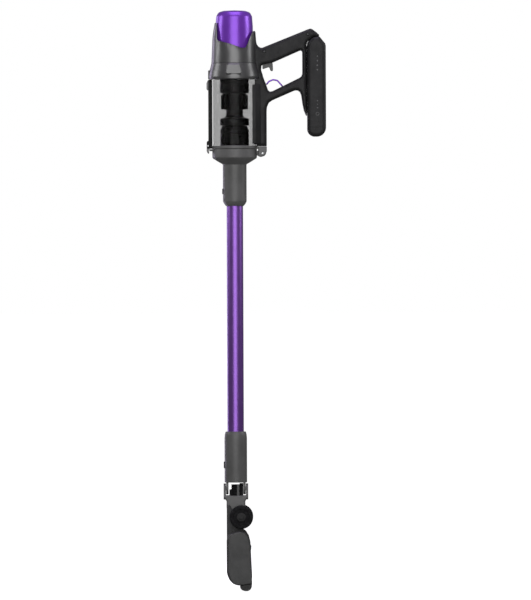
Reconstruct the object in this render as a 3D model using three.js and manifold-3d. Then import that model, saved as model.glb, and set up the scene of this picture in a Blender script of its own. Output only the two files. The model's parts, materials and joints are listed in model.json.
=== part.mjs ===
// Cordless stick vacuum, hanging straight down from its handle unit.
// Frame, in millimetres: the wand's axis is Z, the handle is towards +X, the floor head's width runs along Y.
// The origin is on the wand's axis, where the neck leaves the dust cup's funnel and a wall cradle clasps it.
import * as THREE from "three";
import { mergeVertices } from "three/addons/utils/BufferGeometryUtils.js";
import Module from "manifold-3d";

const wasm = await Module();
wasm.setup();

// ---- driving dimensions ----
const GAP = 0.4; // clearance between pieces that touch on the real object
const SIDES = 32; // facets round the large turned pieces

const CAP_TOP = 306;
const CAP_FOOT = 236;
const CAP_TONGUE = 230.1;
const CAP_R = 37.9;
const HOUSING_BOTTOM = 200;
const HOUSING_R = 45.8;
const HOUSING_BORE = 38.4;
const COLLAR_BOTTOM = 168.3;
const COLLAR_R = 51.5;
const COLLAR_BORE = 39.2;

const CUP_TOP = 176;
const CUP_BOTTOM = 35.4;
const CUP_R = 43.8;
const CUP_WALL = 2.2;
const CYCLONE_R = 29;
const WAIST_R = 17;
const INLET_R = 28.8;
const INLET_TOP = 74.8;

const NECK_BOTTOM = -86;
const NECK_R = 23.7;
const TUBE_R = 16.4;
const TUBE_WALL = 1.5;
const TUBE_TOP = -21;
const TUBE_BOTTOM = -618;
const SOCKET_BORE = TUBE_R + 0.7;

const HEAD_COLLAR_TOP = -536.3;
const HEAD_COLLAR_BOTTOM = -638;
const HEAD_COLLAR_R = 22.5;
const ROLL_Z = -650;

const AXLE_X = 10.8;
const AXLE_Z = -706.6;
const AXLE_R = 3;
const WHEEL_R = 23.5;
const HEAD_HALF_WIDTH = 115;
const END_CAP = 7;

const HANDLE_WIDTH = 34;
const SPINE_REAR = 64.4;
const SPINE_FOOT = 34.2;
const BATTERY_FRONT = 145.3;
const BATTERY_REAR = 183;
const BATTERY_BOTTOM = 53;
const BATTERY_WIDTH = 44;
const CELL_R = 9;
const CELL_LENGTH = 65;

const COVER_PIN = { x: 56, z: 20 };
const TRIGGER_PIN = { x: 59, z: 203 };
const LATCH_PIN = { x: -53, z: 35 };
const BRUSH = { x: 1, z: -110, r: 20.2, chamber: 21.8 }; // from the wheel axle
const BRUSH_MOTOR = { x: -6, z: -63, r: 12 }; // from the wheel axle

// ---- finishes ----
const FINISHES = {
  purple: { color: 0x6a2ec8, roughness: 0.28, metalness: 0.35 },
  gunmetal: { color: 0x6b6b6e, roughness: 0.35, metalness: 0.6 },
  charcoal: { color: 0x35353a, roughness: 0.55, metalness: 0 },
  black: { color: 0x151517, roughness: 0.5, metalness: 0 },
  smoke: { color: 0xb9bdbd, roughness: 0.08, metalness: 0 },
  rubber: { color: 0x202022, roughness: 0.85, metalness: 0 },
  steel: { color: 0xb8babd, roughness: 0.3, metalness: 1 },
  board: { color: 0x1f5a38, roughness: 0.6, metalness: 0 },
  filter: { color: 0xe4e2da, roughness: 0.9, metalness: 0 },
  cell: { color: 0x2f6fa8, roughness: 0.4, metalness: 0.1 },
  bristle: { color: 0x4b3a66, roughness: 0.95, metalness: 0 },
};

function finishOf(name) {
  const { color, roughness, metalness } = FINISHES[name];
  return new THREE.MeshStandardMaterial({ color, roughness, metalness });
}

// ---- solids from three.js geometry ----
function solidOf(geometry) {
  const bare = geometry.clone();
  bare.deleteAttribute("normal");
  bare.deleteAttribute("uv");
  const merged = mergeVertices(bare, 1e-4);
  const index = merged.index.array;
  const faces = [];
  for (let i = 0; i < index.length; i += 3) {
    const [a, b, c] = [index[i], index[i + 1], index[i + 2]];
    if (a !== b && b !== c && c !== a) faces.push([a, b, c]);
  }
  const build = (list) =>
    new wasm.Manifold(
      new wasm.Mesh({
        numProp: 3,
        vertProperties: merged.attributes.position.array,
        triVerts: new Uint32Array(list.flat()),
      }),
    );
  const solid = build(faces);
  return solid.volume() > 0 ? solid : build(faces.map(([a, b, c]) => [a, c, b]));
}

function geometryOf(solid) {
  const mesh = solid.getMesh();
  const positions = new Float32Array(mesh.numVert * 3);
  for (let i = 0; i < mesh.numVert; i += 1) {
    positions.set(mesh.vertProperties.subarray(i * mesh.numProp, i * mesh.numProp + 3), i * 3);
  }
  const geometry = new THREE.BufferGeometry();
  geometry.setAttribute("position", new THREE.BufferAttribute(positions, 3));
  geometry.setIndex(new THREE.BufferAttribute(mesh.triVerts, 1));
  geometry.computeVertexNormals();
  return geometry;
}

const join = (first, ...others) => others.reduce((sum, solid) => sum.add(solid), first);
const cut = (first, ...others) => others.reduce((rest, solid) => rest.subtract(solid), first);

// A profile of [radius, z] points turned about the Z axis.
function turned(profile, sides = SIDES) {
  const points = profile.map(([r, z]) => new THREE.Vector2(r, z));
  return solidOf(new THREE.LatheGeometry(points, sides).rotateX(Math.PI / 2));
}

// A ring of a closed profile: the outline returns to its first point.
const ring = (profile, sides) => turned([...profile, profile[0]], sides);

const tubeRing = (outer, inner, z0, z1, sides) =>
  ring([[inner, z0], [outer, z0], [outer, z1], [inner, z1]], sides);

function shapeOf(points) {
  return new THREE.Shape(points.map(([x, z]) => new THREE.Vector2(x, z)));
}

// An outline in the XZ plane, given width along Y about yCentre, with its edges chamfered inwards.
function slab(shape, width, { yCentre = 0, bevel = 0, curveSegments = 8 } = {}) {
  const geometry = new THREE.ExtrudeGeometry(shape, {
    depth: width - 2 * bevel,
    curveSegments,
    bevelEnabled: bevel > 0,
    bevelThickness: bevel,
    bevelSize: bevel,
    bevelOffset: -bevel,
    bevelSegments: 1,
  });
  geometry.rotateX(Math.PI / 2);
  geometry.translate(0, yCentre + width / 2 - bevel, 0);
  return solidOf(geometry);
}

// A box between two corners.
function block([x0, y0, z0], [x1, y1, z1]) {
  const box = new THREE.BoxGeometry(x1 - x0, y1 - y0, z1 - z0);
  return solidOf(box.translate((x0 + x1) / 2, (y0 + y1) / 2, (z0 + z1) / 2));
}

// A cylinder along X, Y or Z, centred on a point.
function rod(axis, radius, length, [x, y, z], sides = 24) {
  const cylinder = new THREE.CylinderGeometry(radius, radius, length, sides);
  if (axis === "x") cylinder.rotateZ(Math.PI / 2);
  if (axis === "z") cylinder.rotateX(Math.PI / 2);
  return solidOf(cylinder.translate(x, y, z));
}

function addPiece(group, name, finish, solid) {
  const mesh = new THREE.Mesh(geometryOf(solid), finishOf(finish));
  mesh.name = name;
  group.add(mesh);
  return mesh;
}

function groupAt(parent, x, y, z) {
  const group = new THREE.Group();
  group.position.set(x, y, z);
  parent.add(group);
  return group;
}

const vacuum = new THREE.Group();

// ---- filter cap, lifted off the top ----
const capOuter = [
  [CAP_R, CAP_TONGUE], [37.4, 274], [36.6, 288], [35.8, 294.5], [33.4, 299.4], [29, 302.8], [22, 304.8],
  [13, 305.7], [0, CAP_TOP],
];
const capInner = [
  [0, CAP_TOP - 3], [20, 302], [27, 300], [31.4, 296.6], [33.8, 288], [34.8, 274], [35.1, CAP_TONGUE],
];

function exhaustSlots(count) {
  const slots = [];
  for (let i = 0; i < count; i += 1) {
    const slot = new THREE.BoxGeometry(14, 3.2, 20).translate(17, 0, CAP_TOP - 4);
    slots.push(solidOf(slot.rotateZ((i / count) * Math.PI * 2)));
  }
  return slots;
}

// Below its seat the cap keeps only a tongue, which fills the dip of the housing's mouth.
const capSeatRoom = [
  [-60, 220], [-60, CAP_FOOT], [-1.6, CAP_FOOT], [14.2, CAP_TONGUE], [22.6, CAP_TONGUE], [25.1, CAP_FOOT],
  [60, CAP_FOOT], [60, 220],
];

function makeFilterCap(group) {
  const shell = ring([...capOuter, ...capInner]);
  const seatRoom = slab(shapeOf(capSeatRoom), 120);
  addPiece(group, "filter_cap", "purple", cut(shell, seatRoom, ...exhaustSlots(8)));
  addPiece(group, "hepa_filter", "filter", tubeRing(32.5, 19, CAP_FOOT + 3, 286, 32));
}

// ---- motor housing and what it holds ----
const housingOuter = [
  [HOUSING_R, HOUSING_BOTTOM], [44.8, 222], [43.8, 246], [43, 256], [41.4, 267], [39, 280],
  [HOUSING_BORE, 281.5],
];
const collarOuter = [
  [COLLAR_R - 0.5, COLLAR_BOTTOM], [COLLAR_R, 173], [50, 184], [47, 195], [46.2, HOUSING_BOTTOM - GAP],
];

// Everything above this line is open: low round the sides, a tall horn at the front, a short one at the rear.
const housingMouth = [
  [-60, 283], [-34.5, 283], [-34.5, 245], [-8, 238], [14, 229.6], [23, 229.6], [33, 253], [37.5, 264],
  [60, 267], [60, 320], [-60, 320],
];

function makeMotorHousing(group) {
  const shell = ring([
    ...housingOuter, [HOUSING_BORE, CAP_FOOT - GAP], [35, CAP_FOOT - GAP], [35, 226.5], [39.5, 222],
    [39.5, HOUSING_BOTTOM],
  ]);
  addPiece(group, "motor_housing", "gunmetal", cut(shell, slab(shapeOf(housingMouth), 120)));
}

function makeCupCollar(group) {
  const shell = ring([
    ...collarOuter, [COLLAR_BORE, HOUSING_BOTTOM - GAP], [COLLAR_BORE, CUP_TOP + 1],
    [CUP_R + GAP, CUP_TOP + 1], [CUP_R + GAP, COLLAR_BOTTOM],
  ]);
  const railHead = block([-COLLAR_R - 1, -9, COLLAR_BOTTOM], [-47, 9, 186]);
  const pads = [-1, 1].map((side) => {
    const pad = shapeOf([[-17, 178], [15, 178], [11, 197], [-14, 197]]);
    return slab(pad, 8, { yCentre: side * 47 });
  });
  const room = turned([
    [0, 160], [CUP_R + GAP, 160], [CUP_R + GAP, CUP_TOP + 1], [COLLAR_BORE, CUP_TOP + 1], [COLLAR_BORE, 210],
    [0, 210],
  ]);
  addPiece(group, "cup_collar", "gunmetal", cut(join(shell, railHead, ...pads), room));
}

function makeMotor(group) {
  const can = ring([
    [13, 179], [30, 179], [30.6, 182], [30.6, 220], [28, 220], [28, 182], [13, 182],
  ], 32);
  addPiece(group, "motor_can", "steel", can);
  addPiece(group, "motor_mount", "rubber", tubeRing(39, 31, 203, 211, 32));
}

function makeRotor(group) {
  addPiece(group, "motor_shaft", "steel", rod("z", 2.5, 38, [0, 0, 203], 16));
  const hub = ring([[2.9, 184.5], [22, 184.5], [21, 186], [9, 191], [6, 196], [2.9, 196]], 24);
  const blades = [];
  for (let i = 0; i < 7; i += 1) {
    const blade = shapeOf([[6, 185.5], [23, 185.5], [20, 192], [8, 197]]);
    const flat = new THREE.ExtrudeGeometry(blade, { depth: 1.6, bevelEnabled: false });
    flat.rotateX(Math.PI / 2);
    blades.push(solidOf(flat.rotateZ((i / 7) * Math.PI * 2)));
  }
  addPiece(group, "impeller", "black", join(hub, ...blades));
}

// ---- handle: two shells that meet on the centre plane ----
const handleOutline = [
  [34, 262], [42.6, 262], [43.6, 246], [45, 238], [49, 232.5], [54.6, 230.2], [148.5, 267.8], [153, 268.8],
  [157, 267], [169.8, 256.5], [170, 253.4], [159, 252.6], [148, 244.6], [144.6, 238], [144.9, 94],
  [142.6, 95.5], [138.4, 106], [135.8, 119], [133.4, 136], [131, 142], [126, 145.6], [120, 145.2], [76, 126],
  [68.6, 121], [65, 112], [SPINE_REAR, 104], [SPINE_REAR, SPINE_FOOT], [36, SPINE_FOOT],
];
const handOpening = [
  [53.6, 186], [54.5, 196.5], [77.6, 201.6], [130, 224.6], [134, 225.4], [135.8, 222], [135.8, 179],
  [134, 173.4], [130, 170.2], [76, 143.8], [70.5, 143], [67.2, 146.4],
];
const triggerPocket = block([54.9, -6.4, 180], [84, 6.4, 213.5]);

// The spine widens to a saddle where it lies against the cup.
function cupSaddle() {
  const section = shapeOf([[34, -26.5], [43, -26.5], [54, -16], [54, 16], [43, 26.5], [34, 26.5]]);
  const saddle = new THREE.ExtrudeGeometry(section, { depth: 118, bevelEnabled: false });
  return solidOf(saddle.translate(0, 0, 39));
}

function handleBlank() {
  const solid = cut(
    join(slab(shapeOf(handleOutline), HANDLE_WIDTH, { bevel: 1.5 }), cupSaddle()),
    slab(shapeOf(handOpening), HANDLE_WIDTH + 2),
  );
  const bodyRoom = turned([
    [0, 20], [CUP_R + 2.2, 20], [CUP_R + 2.2, CUP_BOTTOM + 2], [CUP_R + 0.8, CUP_BOTTOM + 2],
    [CUP_R + 0.8, 160],
    ...collarOuter.map(([r, z], i) => [r + GAP, i === 0 ? z - 8.3 : z]),
    ...housingOuter.slice(0, 6).map(([r, z], i) => [r + GAP, i === 0 ? z - GAP : z]),
    [0, 280],
  ]);
  const spineHollow = block([52, -12, 44], [61.4, 12, 176]);
  const gripHollow = shapeOf([[66, 217], [70, 213.5], [140, 241.5], [140, 250], [134, 255], [66, 228]]);
  const strutHollow = shapeOf([[76, 134], [126, 157], [126, 163], [76, 140]]);
  const batteryRail = shapeOf([[138.5, 128], [142, 128], [142, 232], [138.5, 232]]);
  const hollows = [spineHollow, slab(gripHollow, 22), slab(strutHollow, 20), slab(batteryRail, 20)];
  return cut(solid, bodyRoom, ...hollows, triggerPocket);
}


const SHELL_SEAM = 0.3; // between the two handle shells
const handleScrews = [
  { name: "handle_screw_root", x: 60, z: 223 },
  { name: "handle_screw_end", x: 147, z: 257.5 },
];

function screwRoom({ x, z }) {
  const shank = rod("y", 1.9, 30, [x, -3, z], 16);
  return join(shank, rod("y", 3.5, 4, [x, -16, z], 20));
}

function makeHandle(group) {
  const blank = cut(handleBlank(), modeButtonRoom(), ...handleScrews.map(screwRoom));
  const right = block([0, -SHELL_SEAM / 2, 0], [200, 30, 300]);
  const left = block([0, -30, 0], [200, SHELL_SEAM / 2, 300]);
  addPiece(group, "handle_shell_left", "charcoal", cut(blank, right));
  addPiece(group, "handle_shell_right", "charcoal", cut(blank, left));
  for (const screw of handleScrews) {
    const shank = rod("y", 1.5, 26, [screw.x, -2.5, screw.z], 12);
    addPiece(group, screw.name, "steel", join(shank, rod("y", 3, 2.2, [screw.x, -15.4, screw.z], 16)));
  }
}

// A strip of even thickness along a line of points in the XZ plane.
function bandShape(points, thickness) {
  const sideOf = (sign) =>
    points.map(([x, z], i) => {
      const [ax, az] = points[Math.max(i - 1, 0)];
      const [bx, bz] = points[Math.min(i + 1, points.length - 1)];
      const length = Math.hypot(bx - ax, bz - az);
      const reach = (sign * thickness) / 2 / length;
      return [x - (bz - az) * reach, z + (bx - ax) * reach];
    });
  return shapeOf([...sideOf(1), ...sideOf(-1).reverse()]);
}

function makeHandleFittings(group) {
  const arch = [
    [65.2, 158.6], [68.6, 162.2], [73, 165], [78, 166.2], [84, 165.6], [89, 161.6], [94.6, 155.6],
  ];
  addPiece(group, "finger_guard", "purple", slab(bandShape(arch, 3.4), 11));
  addPiece(group, "control_board", "board", block([55, -10, 60], [56.6, 10, 166]));
  addPiece(group, "trigger_switch", "black", block([72, -6, 220], [82, 6, 227.5]));
  addPiece(group, "trigger_pin", "steel", rod("y", 1.8, 12, [TRIGGER_PIN.x, 0, TRIGGER_PIN.z], 16));
}

function makeTrigger(group) {
  const outline = [
    [56.2, 199.5], [56.2, 189.2], [58, 188.4], [70, 192.6], [71.6, 186.4], [73.4, 184.2], [76.6, 184.4],
    [77.4, 187], [76.8, 199.6], [71, 205.6], [63, 208], [57.4, 207],
  ];
  const pinHole = rod("y", 2.3, 20, [TRIGGER_PIN.x, 0, TRIGGER_PIN.z], 16);
  addPiece(group, "trigger", "gunmetal", cut(slab(shapeOf(outline), 11.6, { bevel: 1 }), pinHole));
}

// The mode button sits in the handle's sloping end face, square to it.
const endFace = { from: [157, 267], to: [169.8, 256.5] };
const modeButton = {
  x: (endFace.from[0] + endFace.to[0]) / 2,
  z: (endFace.from[1] + endFace.to[1]) / 2,
  angle: Math.atan2(endFace.from[1] - endFace.to[1], endFace.to[0] - endFace.from[0]),
};

function modeButtonRoom() {
  const box = new THREE.BoxGeometry(9, 15, 11).rotateY(modeButton.angle);
  return solidOf(box.translate(modeButton.x, 0, modeButton.z));
}

function makeModeButton(group) {
  const button = addPiece(group, "mode_button", "gunmetal", block([-4, -7, -3.6], [4, 7, 0.5]));
  button.position.set(modeButton.x, 0, modeButton.z);
  button.rotation.y = modeButton.angle;
}

// ---- battery pack, hung behind the hand ----
function batteryShape() {
  const shape = new THREE.Shape();
  shape.moveTo(BATTERY_FRONT, 68);
  shape.lineTo(BATTERY_FRONT, 238.2);
  shape.lineTo(148.3, 244.1);
  shape.lineTo(159.1, 252.1);
  shape.lineTo(170.4, 252.9);
  shape.lineTo(182, 238.6);
  shape.lineTo(BATTERY_REAR, 234);
  shape.lineTo(BATTERY_REAR, 82);
  shape.bezierCurveTo(BATTERY_REAR, 66, 178, BATTERY_BOTTOM, 168, BATTERY_BOTTOM);
  shape.lineTo(158, BATTERY_BOTTOM);
  shape.quadraticCurveTo(BATTERY_FRONT, BATTERY_BOTTOM, BATTERY_FRONT, 68);
  return shape;
}

const BATTERY_SEAM = 72;
const CELL_BOTTOM = 80;
const cellPlaces = [[156.3, -9.2], [156.3, 9.2], [172.3, 0]];

function makeBattery(group) {
  const pack = slab(batteryShape(), BATTERY_WIDTH, { bevel: 3.5, curveSegments: 6 });
  const above = block([140, -30, BATTERY_SEAM], [190, 30, 300]);
  const below = block([140, -30, 0], [190, 30, BATTERY_SEAM - GAP]);
  const hollow = shapeOf([[147, 60], [181.6, 60], [181.6, 232], [171, 244], [160, 244], [147, 234]]);
  const buttonHole = block([176, -8.4, 214.6], [190, 8.4, 229.4]);
  const cellCase = cut(pack.intersect(above), slab(hollow, 38.4), buttonHole);
  addPiece(group, "battery_case", "charcoal", cellCase);
  addPiece(group, "battery_foot", "charcoal", pack.intersect(below));
  cellPlaces.forEach(([x, y], i) => {
    const cell = (z) => rod("z", CELL_R, CELL_LENGTH - 1, [x, y, z], 20);
    const nickel = rod("z", 3, 4, [x, y, CELL_BOTTOM + CELL_LENGTH], 12);
    const stack = join(cell(CELL_BOTTOM + CELL_LENGTH / 2), cell(CELL_BOTTOM + 1.5 * CELL_LENGTH), nickel);
    addPiece(group, `cell_stack_${i + 1}`, "cell", stack);
  });
  addPiece(group, "battery_board", "board", block([148.4, -17, 212], [174, 17, 213.6]));
}

function makeBatteryButton(group) {
  const cap = block([178.4, -8, 215], [BATTERY_REAR, 8, 229]);
  addPiece(group, "battery_release_button", "gunmetal", join(cap, block([176.4, -3, 219], [179, 3, 225])));
}

// ---- dust cup, slid down off the collar ----
const CUP_BORE = CUP_R - CUP_WALL;
const BASE_BORE = CUP_BORE + 1;
const SKIRT_BORE = CYCLONE_R - 2.1;
const FIN_THICKNESS = 3;

// Ten upright plates round the cyclone, between two radii and two heights.
function radialFins(inner, outer, z0, z1) {
  const fins = [];
  for (let i = 0; i < 10; i += 1) {
    const fin = new THREE.BoxGeometry(outer - inner, FIN_THICKNESS, z1 - z0);
    fin.translate((inner + outer) / 2, 0, (z0 + z1) / 2);
    fins.push(solidOf(fin.rotateZ(((i + 0.5) / 10) * Math.PI * 2)));
  }
  return fins;
}

function makeDustCup(group) {
  addPiece(group, "dust_cup", "smoke", tubeRing(CUP_R, CUP_BORE, CUP_BOTTOM, CUP_TOP, 40));
  const shroud = ring([
    [CYCLONE_R, 140], [CYCLONE_R, 169], [CUP_BORE - GAP, 169.6], [CUP_BORE - GAP, 174],
    [19, 174], [19, 107], [22.6, 107], [22.6, 140],
  ]);
  const shroudFins = radialFins(19.4, CYCLONE_R - 0.6, 108, 140.5);
  addPiece(group, "cyclone_shroud", "black", join(shroud, ...shroudFins));
  const core = ring([
    [WAIST_R, 160], [WAIST_R, 96], [20, 92], [CYCLONE_R - 1, 89.5], [CYCLONE_R, 88],
    [CYCLONE_R, INLET_TOP + 0.8], [SKIRT_BORE, INLET_TOP + 0.8], [SKIRT_BORE, 86.5], [17.6, 90],
    [WAIST_R - 2.5, 95], [WAIST_R - 2.5, 160],
  ], 32);
  addPiece(group, "cyclone_core", "black", core);
}

// The base ring carries the clear cup and the hinge of the bottom cover.
function makeCupBase(group) {
  const base = tubeRing(CUP_R + 1.7, BASE_BORE, 29, CUP_BOTTOM - GAP);
  const hinge = shapeOf([
    [43, 33.4], [SPINE_REAR, 33.4], [SPINE_REAR, 25], [62.5, 18.5], [58.5, 14.5], [52, 12.6], [47, 14.4],
    [46.8, 28.8], [43, 28.8],
  ]);
  const knuckleSlot = block([40, -7.4, 8], [62.7, 7.4, 28.8]);
  const pinHole = rod("y", 2.3, 40, [COVER_PIN.x, 0, COVER_PIN.z], 16);
  const inside = turned([[0, 20], [BASE_BORE, 20], [BASE_BORE, 40], [0, 40]]);
  const solid = cut(join(base, cut(slab(hinge, 32, { bevel: 1.5 }), inside)), knuckleSlot, pinHole);
  addPiece(group, "cup_base_ring", "gunmetal", solid);
  addPiece(group, "cover_hinge_pin", "steel", rod("y", 1.9, 30, [COVER_PIN.x, 0, COVER_PIN.z], 16));
}

// The front rail guides the push rod from the button at its head to the latch at its foot.
function makeCupRail(group) {
  const rail = block([-52.4, -9, 29.6], [-44.4, 9, COLLAR_BOTTOM - 0.8]);
  const foot = block([-55.6, -9, 29.6], [-50, 9, 44]);
  const ringRoom = turned([[0, 20], [CUP_R + 2.2, 20], [CUP_R + 2.2, 36], [0, 36]]);
  const groove = block([-60, -4, 40], [-48.2, 4, 160]);
  const buttonPocket = block([-60, -7.5, 139], [-48.2, 7.5, 170]);
  const latchPocket = block([-60, -7, 20], [-46.4, 7, 48.6]);
  const latchMouth = block([-60, -7, 20], [-40, 7, 37]);
  const pinHole = rod("y", 1.5, 30, [LATCH_PIN.x, 0, LATCH_PIN.z], 12);
  const solid = cut(join(rail, foot), ringRoom, groove, buttonPocket, latchPocket, latchMouth, pinHole);
  addPiece(group, "cup_rail", "black", solid);
  addPiece(group, "latch_pin", "steel", rod("y", 1.1, 17, [LATCH_PIN.x, 0, LATCH_PIN.z], 12));
}

function makeCupRelease(group) {
  const face = shapeOf([
    [-48.6, 146.5], [-54.4, 146.5], [-55.7, 149], [-55.7, 160], [-53.4, 166], [-48.6, 166],
  ]);
  const pushRod = block([-51.8, -3.5, 53], [-48.6, 3.5, 150]);
  addPiece(group, "cup_release_button", "gunmetal", join(slab(face, 14, { bevel: 1 }), pushRod));
}

function makeCoverLatch(group) {
  const outline = shapeOf([
    [-49.2, 45], [-53.6, 45.4], [-55.8, 42], [-55.8, 24.6], [-54, 20.6], [-51.2, 19.4], [-50.9, 22.8],
    [-51.8, 26], [-49.2, 31],
  ]);
  const pinHole = rod("y", 1.5, 30, [LATCH_PIN.x, 0, LATCH_PIN.z], 12);
  addPiece(group, "cover_latch", "gunmetal", cut(slab(outline, 13, { bevel: 0.8 }), pinHole));
}

// ---- bottom cover with the neck that takes the wand ----
function makeBottomCover(group) {
  const shell = ring([
    [SOCKET_BORE, NECK_BOTTOM], [21.5, -80.5], [NECK_R, -76], [NECK_R, -3], [24.6, -1.6], [34.2, 4],
    [43.6, 10], [44.6, 12], [44.6, 28.4], [41.3, 28.4], [41.3, 14], [30, 6.6], [20, 0], [14, -4],
    [14, TUBE_TOP + 1], [SOCKET_BORE, TUBE_TOP + 1],
  ]);
  const arm = block([42.6, -7, 15.5], [COVER_PIN.x, 7, 25]);
  const knuckle = rod("y", 6.2, 14, [COVER_PIN.x, 0, COVER_PIN.z]);
  const tab = block([-50.4, -6, 24.6], [-43, 6, 28.4]);
  const pinHole = rod("y", 2.3, 40, [COVER_PIN.x, 0, COVER_PIN.z], 16);
  const buttonRoom = block([-30, -6.5, -62.5], [-15, 6.5, -49.5]);
  addPiece(group, "bottom_cover", "gunmetal", cut(join(shell, arm, knuckle, tab), pinHole, buttonRoom));
  addPiece(group, "cover_seal", "rubber", tubeRing(40.9, 38.4, 18, 28.2));
  const duct = ring([
    [22.6, 4], [25, 4], [INLET_R, 7], [INLET_R, INLET_TOP - 9], [25, INLET_TOP], [22.6, INLET_TOP],
    [22.6, 30], [13.5, 30], [13.5, 28], [22.6, 28],
  ]);
  addPiece(group, "inlet_duct", "black", duct);
}

function makeInletFlap(group) {
  const disc = rod("z", 17.4, 1.6, [0, 0, 31.3], 28);
  const lug = block([14, -5, 30.5], [21, 5, 32.4]);
  addPiece(group, "inlet_flap", "rubber", join(disc, lug));
}

function makeWandButton(group) {
  const face = shapeOf([
    [-20.6, -50], [-24.4, -50], [-25.2, -51.5], [-25.2, -60.5], [-24.4, -62], [-20.6, -62],
  ]);
  const plunger = block([-21, -3, -58], [-18.4, 3, -54]);
  addPiece(group, "wand_release_button", "charcoal", join(slab(face, 12, { bevel: 0.8 }), plunger));
}

// ---- wand ----
function makeWand(group) {
  addPiece(group, "wand_tube", "purple", tubeRing(TUBE_R, TUBE_R - TUBE_WALL, TUBE_BOTTOM, TUBE_TOP, 32));
  addPiece(group, "wand_cable_duct", "black", block([-3, 10.4, TUBE_BOTTOM + 8], [3, 13.4, TUBE_TOP - 8]));
}

function makeHeadCollar(group) {
  const body = ring([
    [SOCKET_BORE, HEAD_COLLAR_TOP], [20.4, HEAD_COLLAR_TOP], [22, -543], [HEAD_COLLAR_R, -550],
    [HEAD_COLLAR_R, HEAD_COLLAR_BOTTOM], [13.6, HEAD_COLLAR_BOTTOM], [13.6, TUBE_BOTTOM - 2],
    [SOCKET_BORE, TUBE_BOTTOM - 2],
  ]);
  const arms = [-1, 1].map((side) => {
    const [near, far] = side < 0 ? [-19.6, -14.8] : [14.8, 19.6];
    const plate = block([near, -12, ROLL_Z], [far, 12, HEAD_COLLAR_BOTTOM + 1]);
    return join(plate, rod("x", 12, far - near, [(near + far) / 2, 0, ROLL_Z]));
  });
  const buttonRoom = block([-30, -5.5, -610.5], [-12, 5.5, -595.5]);
  const pivots = rod("x", 4.4, 60, [0, 0, ROLL_Z], 20);
  addPiece(group, "head_collar", "gunmetal", cut(join(body, ...arms), buttonRoom, pivots));
}

function makeHeadButton(group) {
  const face = shapeOf([
    [-19.6, -596], [-23.4, -596], [-24.2, -598], [-24.2, -608], [-23.4, -610], [-19.6, -610],
  ]);
  const plunger = block([-20, -2.6, -605], [-18.6, 2.6, -601]);
  addPiece(group, "head_release_button", "charcoal", join(slab(face, 10, { bevel: 0.8 }), plunger));
}

// ---- knuckle: rolls between the collar's arms and carries the axle barrel ----
function makeKnuckle(group) {
  const ears = [-1, 1].map((side) => {
    const [near, far] = side < 0 ? [-24.6, -20] : [20, 24.6];
    const plate = block([near, -10, -672], [far, 10, ROLL_Z]);
    const eye = rod("x", 10, far - near, [(near + far) / 2, 0, ROLL_Z]);
    const boss = rod("x", 4, 5, [side * 18, 0, ROLL_Z], 20);
    return join(plate, eye, boss);
  });
  const yoke = shapeOf([
    [-24.6, -664], [-24.6, -667], [-18.8, -675], [-18.8, -690], [-8, -706], [8, -718], [19, -712], [23, -700],
    [18.8, -684], [18.8, -675], [24.6, -667], [24.6, -664],
  ]);
  const barrel = rod("y", 13, 39, [AXLE_X, 0, AXLE_Z], 28);
  const body = join(cut(slab(yoke, 39, { bevel: 2 }), rod("x", 13, 39.4, [0, 0, ROLL_Z])), barrel, ...ears);
  const duct = rod("z", 10.4, 60, [0, 0, -660], 24);
  const axleHole = rod("y", AXLE_R + GAP, 60, [AXLE_X, 0, AXLE_Z], 20);
  addPiece(group, "neck_knuckle", "gunmetal", cut(body, duct, axleHole));
  const folds = [];
  for (let i = 0; i <= 10; i += 1) folds.push([i % 2 ? 8.4 : 9.8, -642 - i * 4.2]);
  addPiece(group, "neck_hose", "rubber", ring([...folds.reverse(), [7.2, -642], [7.2, -642 - 42]], 20));
}

// ---- floor head ----
// Its own frame is at the wheel axle: top side towards -X, sole towards +X, front towards -Z.
function headShape(inset = 0) {
  const shape = new THREE.Shape();
  const left = -29.2 + inset;
  shape.moveTo(left, -107);
  shape.lineTo(left, -44);
  shape.quadraticCurveTo(left + 1, -33, -18, -30.5);
  shape.lineTo(-6, -27.4);
  shape.quadraticCurveTo(4, -26.4, 9, -32);
  shape.lineTo(14.5, -41);
  shape.lineTo(17.6, -54);
  shape.lineTo(21, -124);
  shape.quadraticCurveTo(21, -129, 17, -130.6);
  shape.lineTo(-4, -133.4);
  shape.quadraticCurveTo(-24 + inset / 2, -133, left, -107);
  return shape;
}

const BRUSH_SPAN = HEAD_HALF_WIDTH - 3;
const HEAD_SPLIT = 4;
const roomAround = (radius, x, z, length, yCentre = 0) => rod("y", radius, length, [x, yCentre, z], 32);

function headInterior() {
  const brushRoom = roomAround(BRUSH.chamber, BRUSH.x, BRUSH.z, 2 * BRUSH_SPAN);
  const rear = block([-25, -BRUSH_SPAN, -82], [14, BRUSH_SPAN, -50]);
  const beltSlot = block([-16, -BRUSH_SPAN, -112], [13, -98, -56]);
  const journalHoles = roomAround(4.8, BRUSH.x, BRUSH.z, 2 * HEAD_HALF_WIDTH + 4);
  return join(brushRoom, rear, beltSlot, journalHoles);
}

// The knuckle swings through this notch as the head tips up to 90 degrees.
const neckNotch = () => join(block([-40, -21, -46], [40, 21, 30]), roomAround(14, 0, 0, 42));

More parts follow.
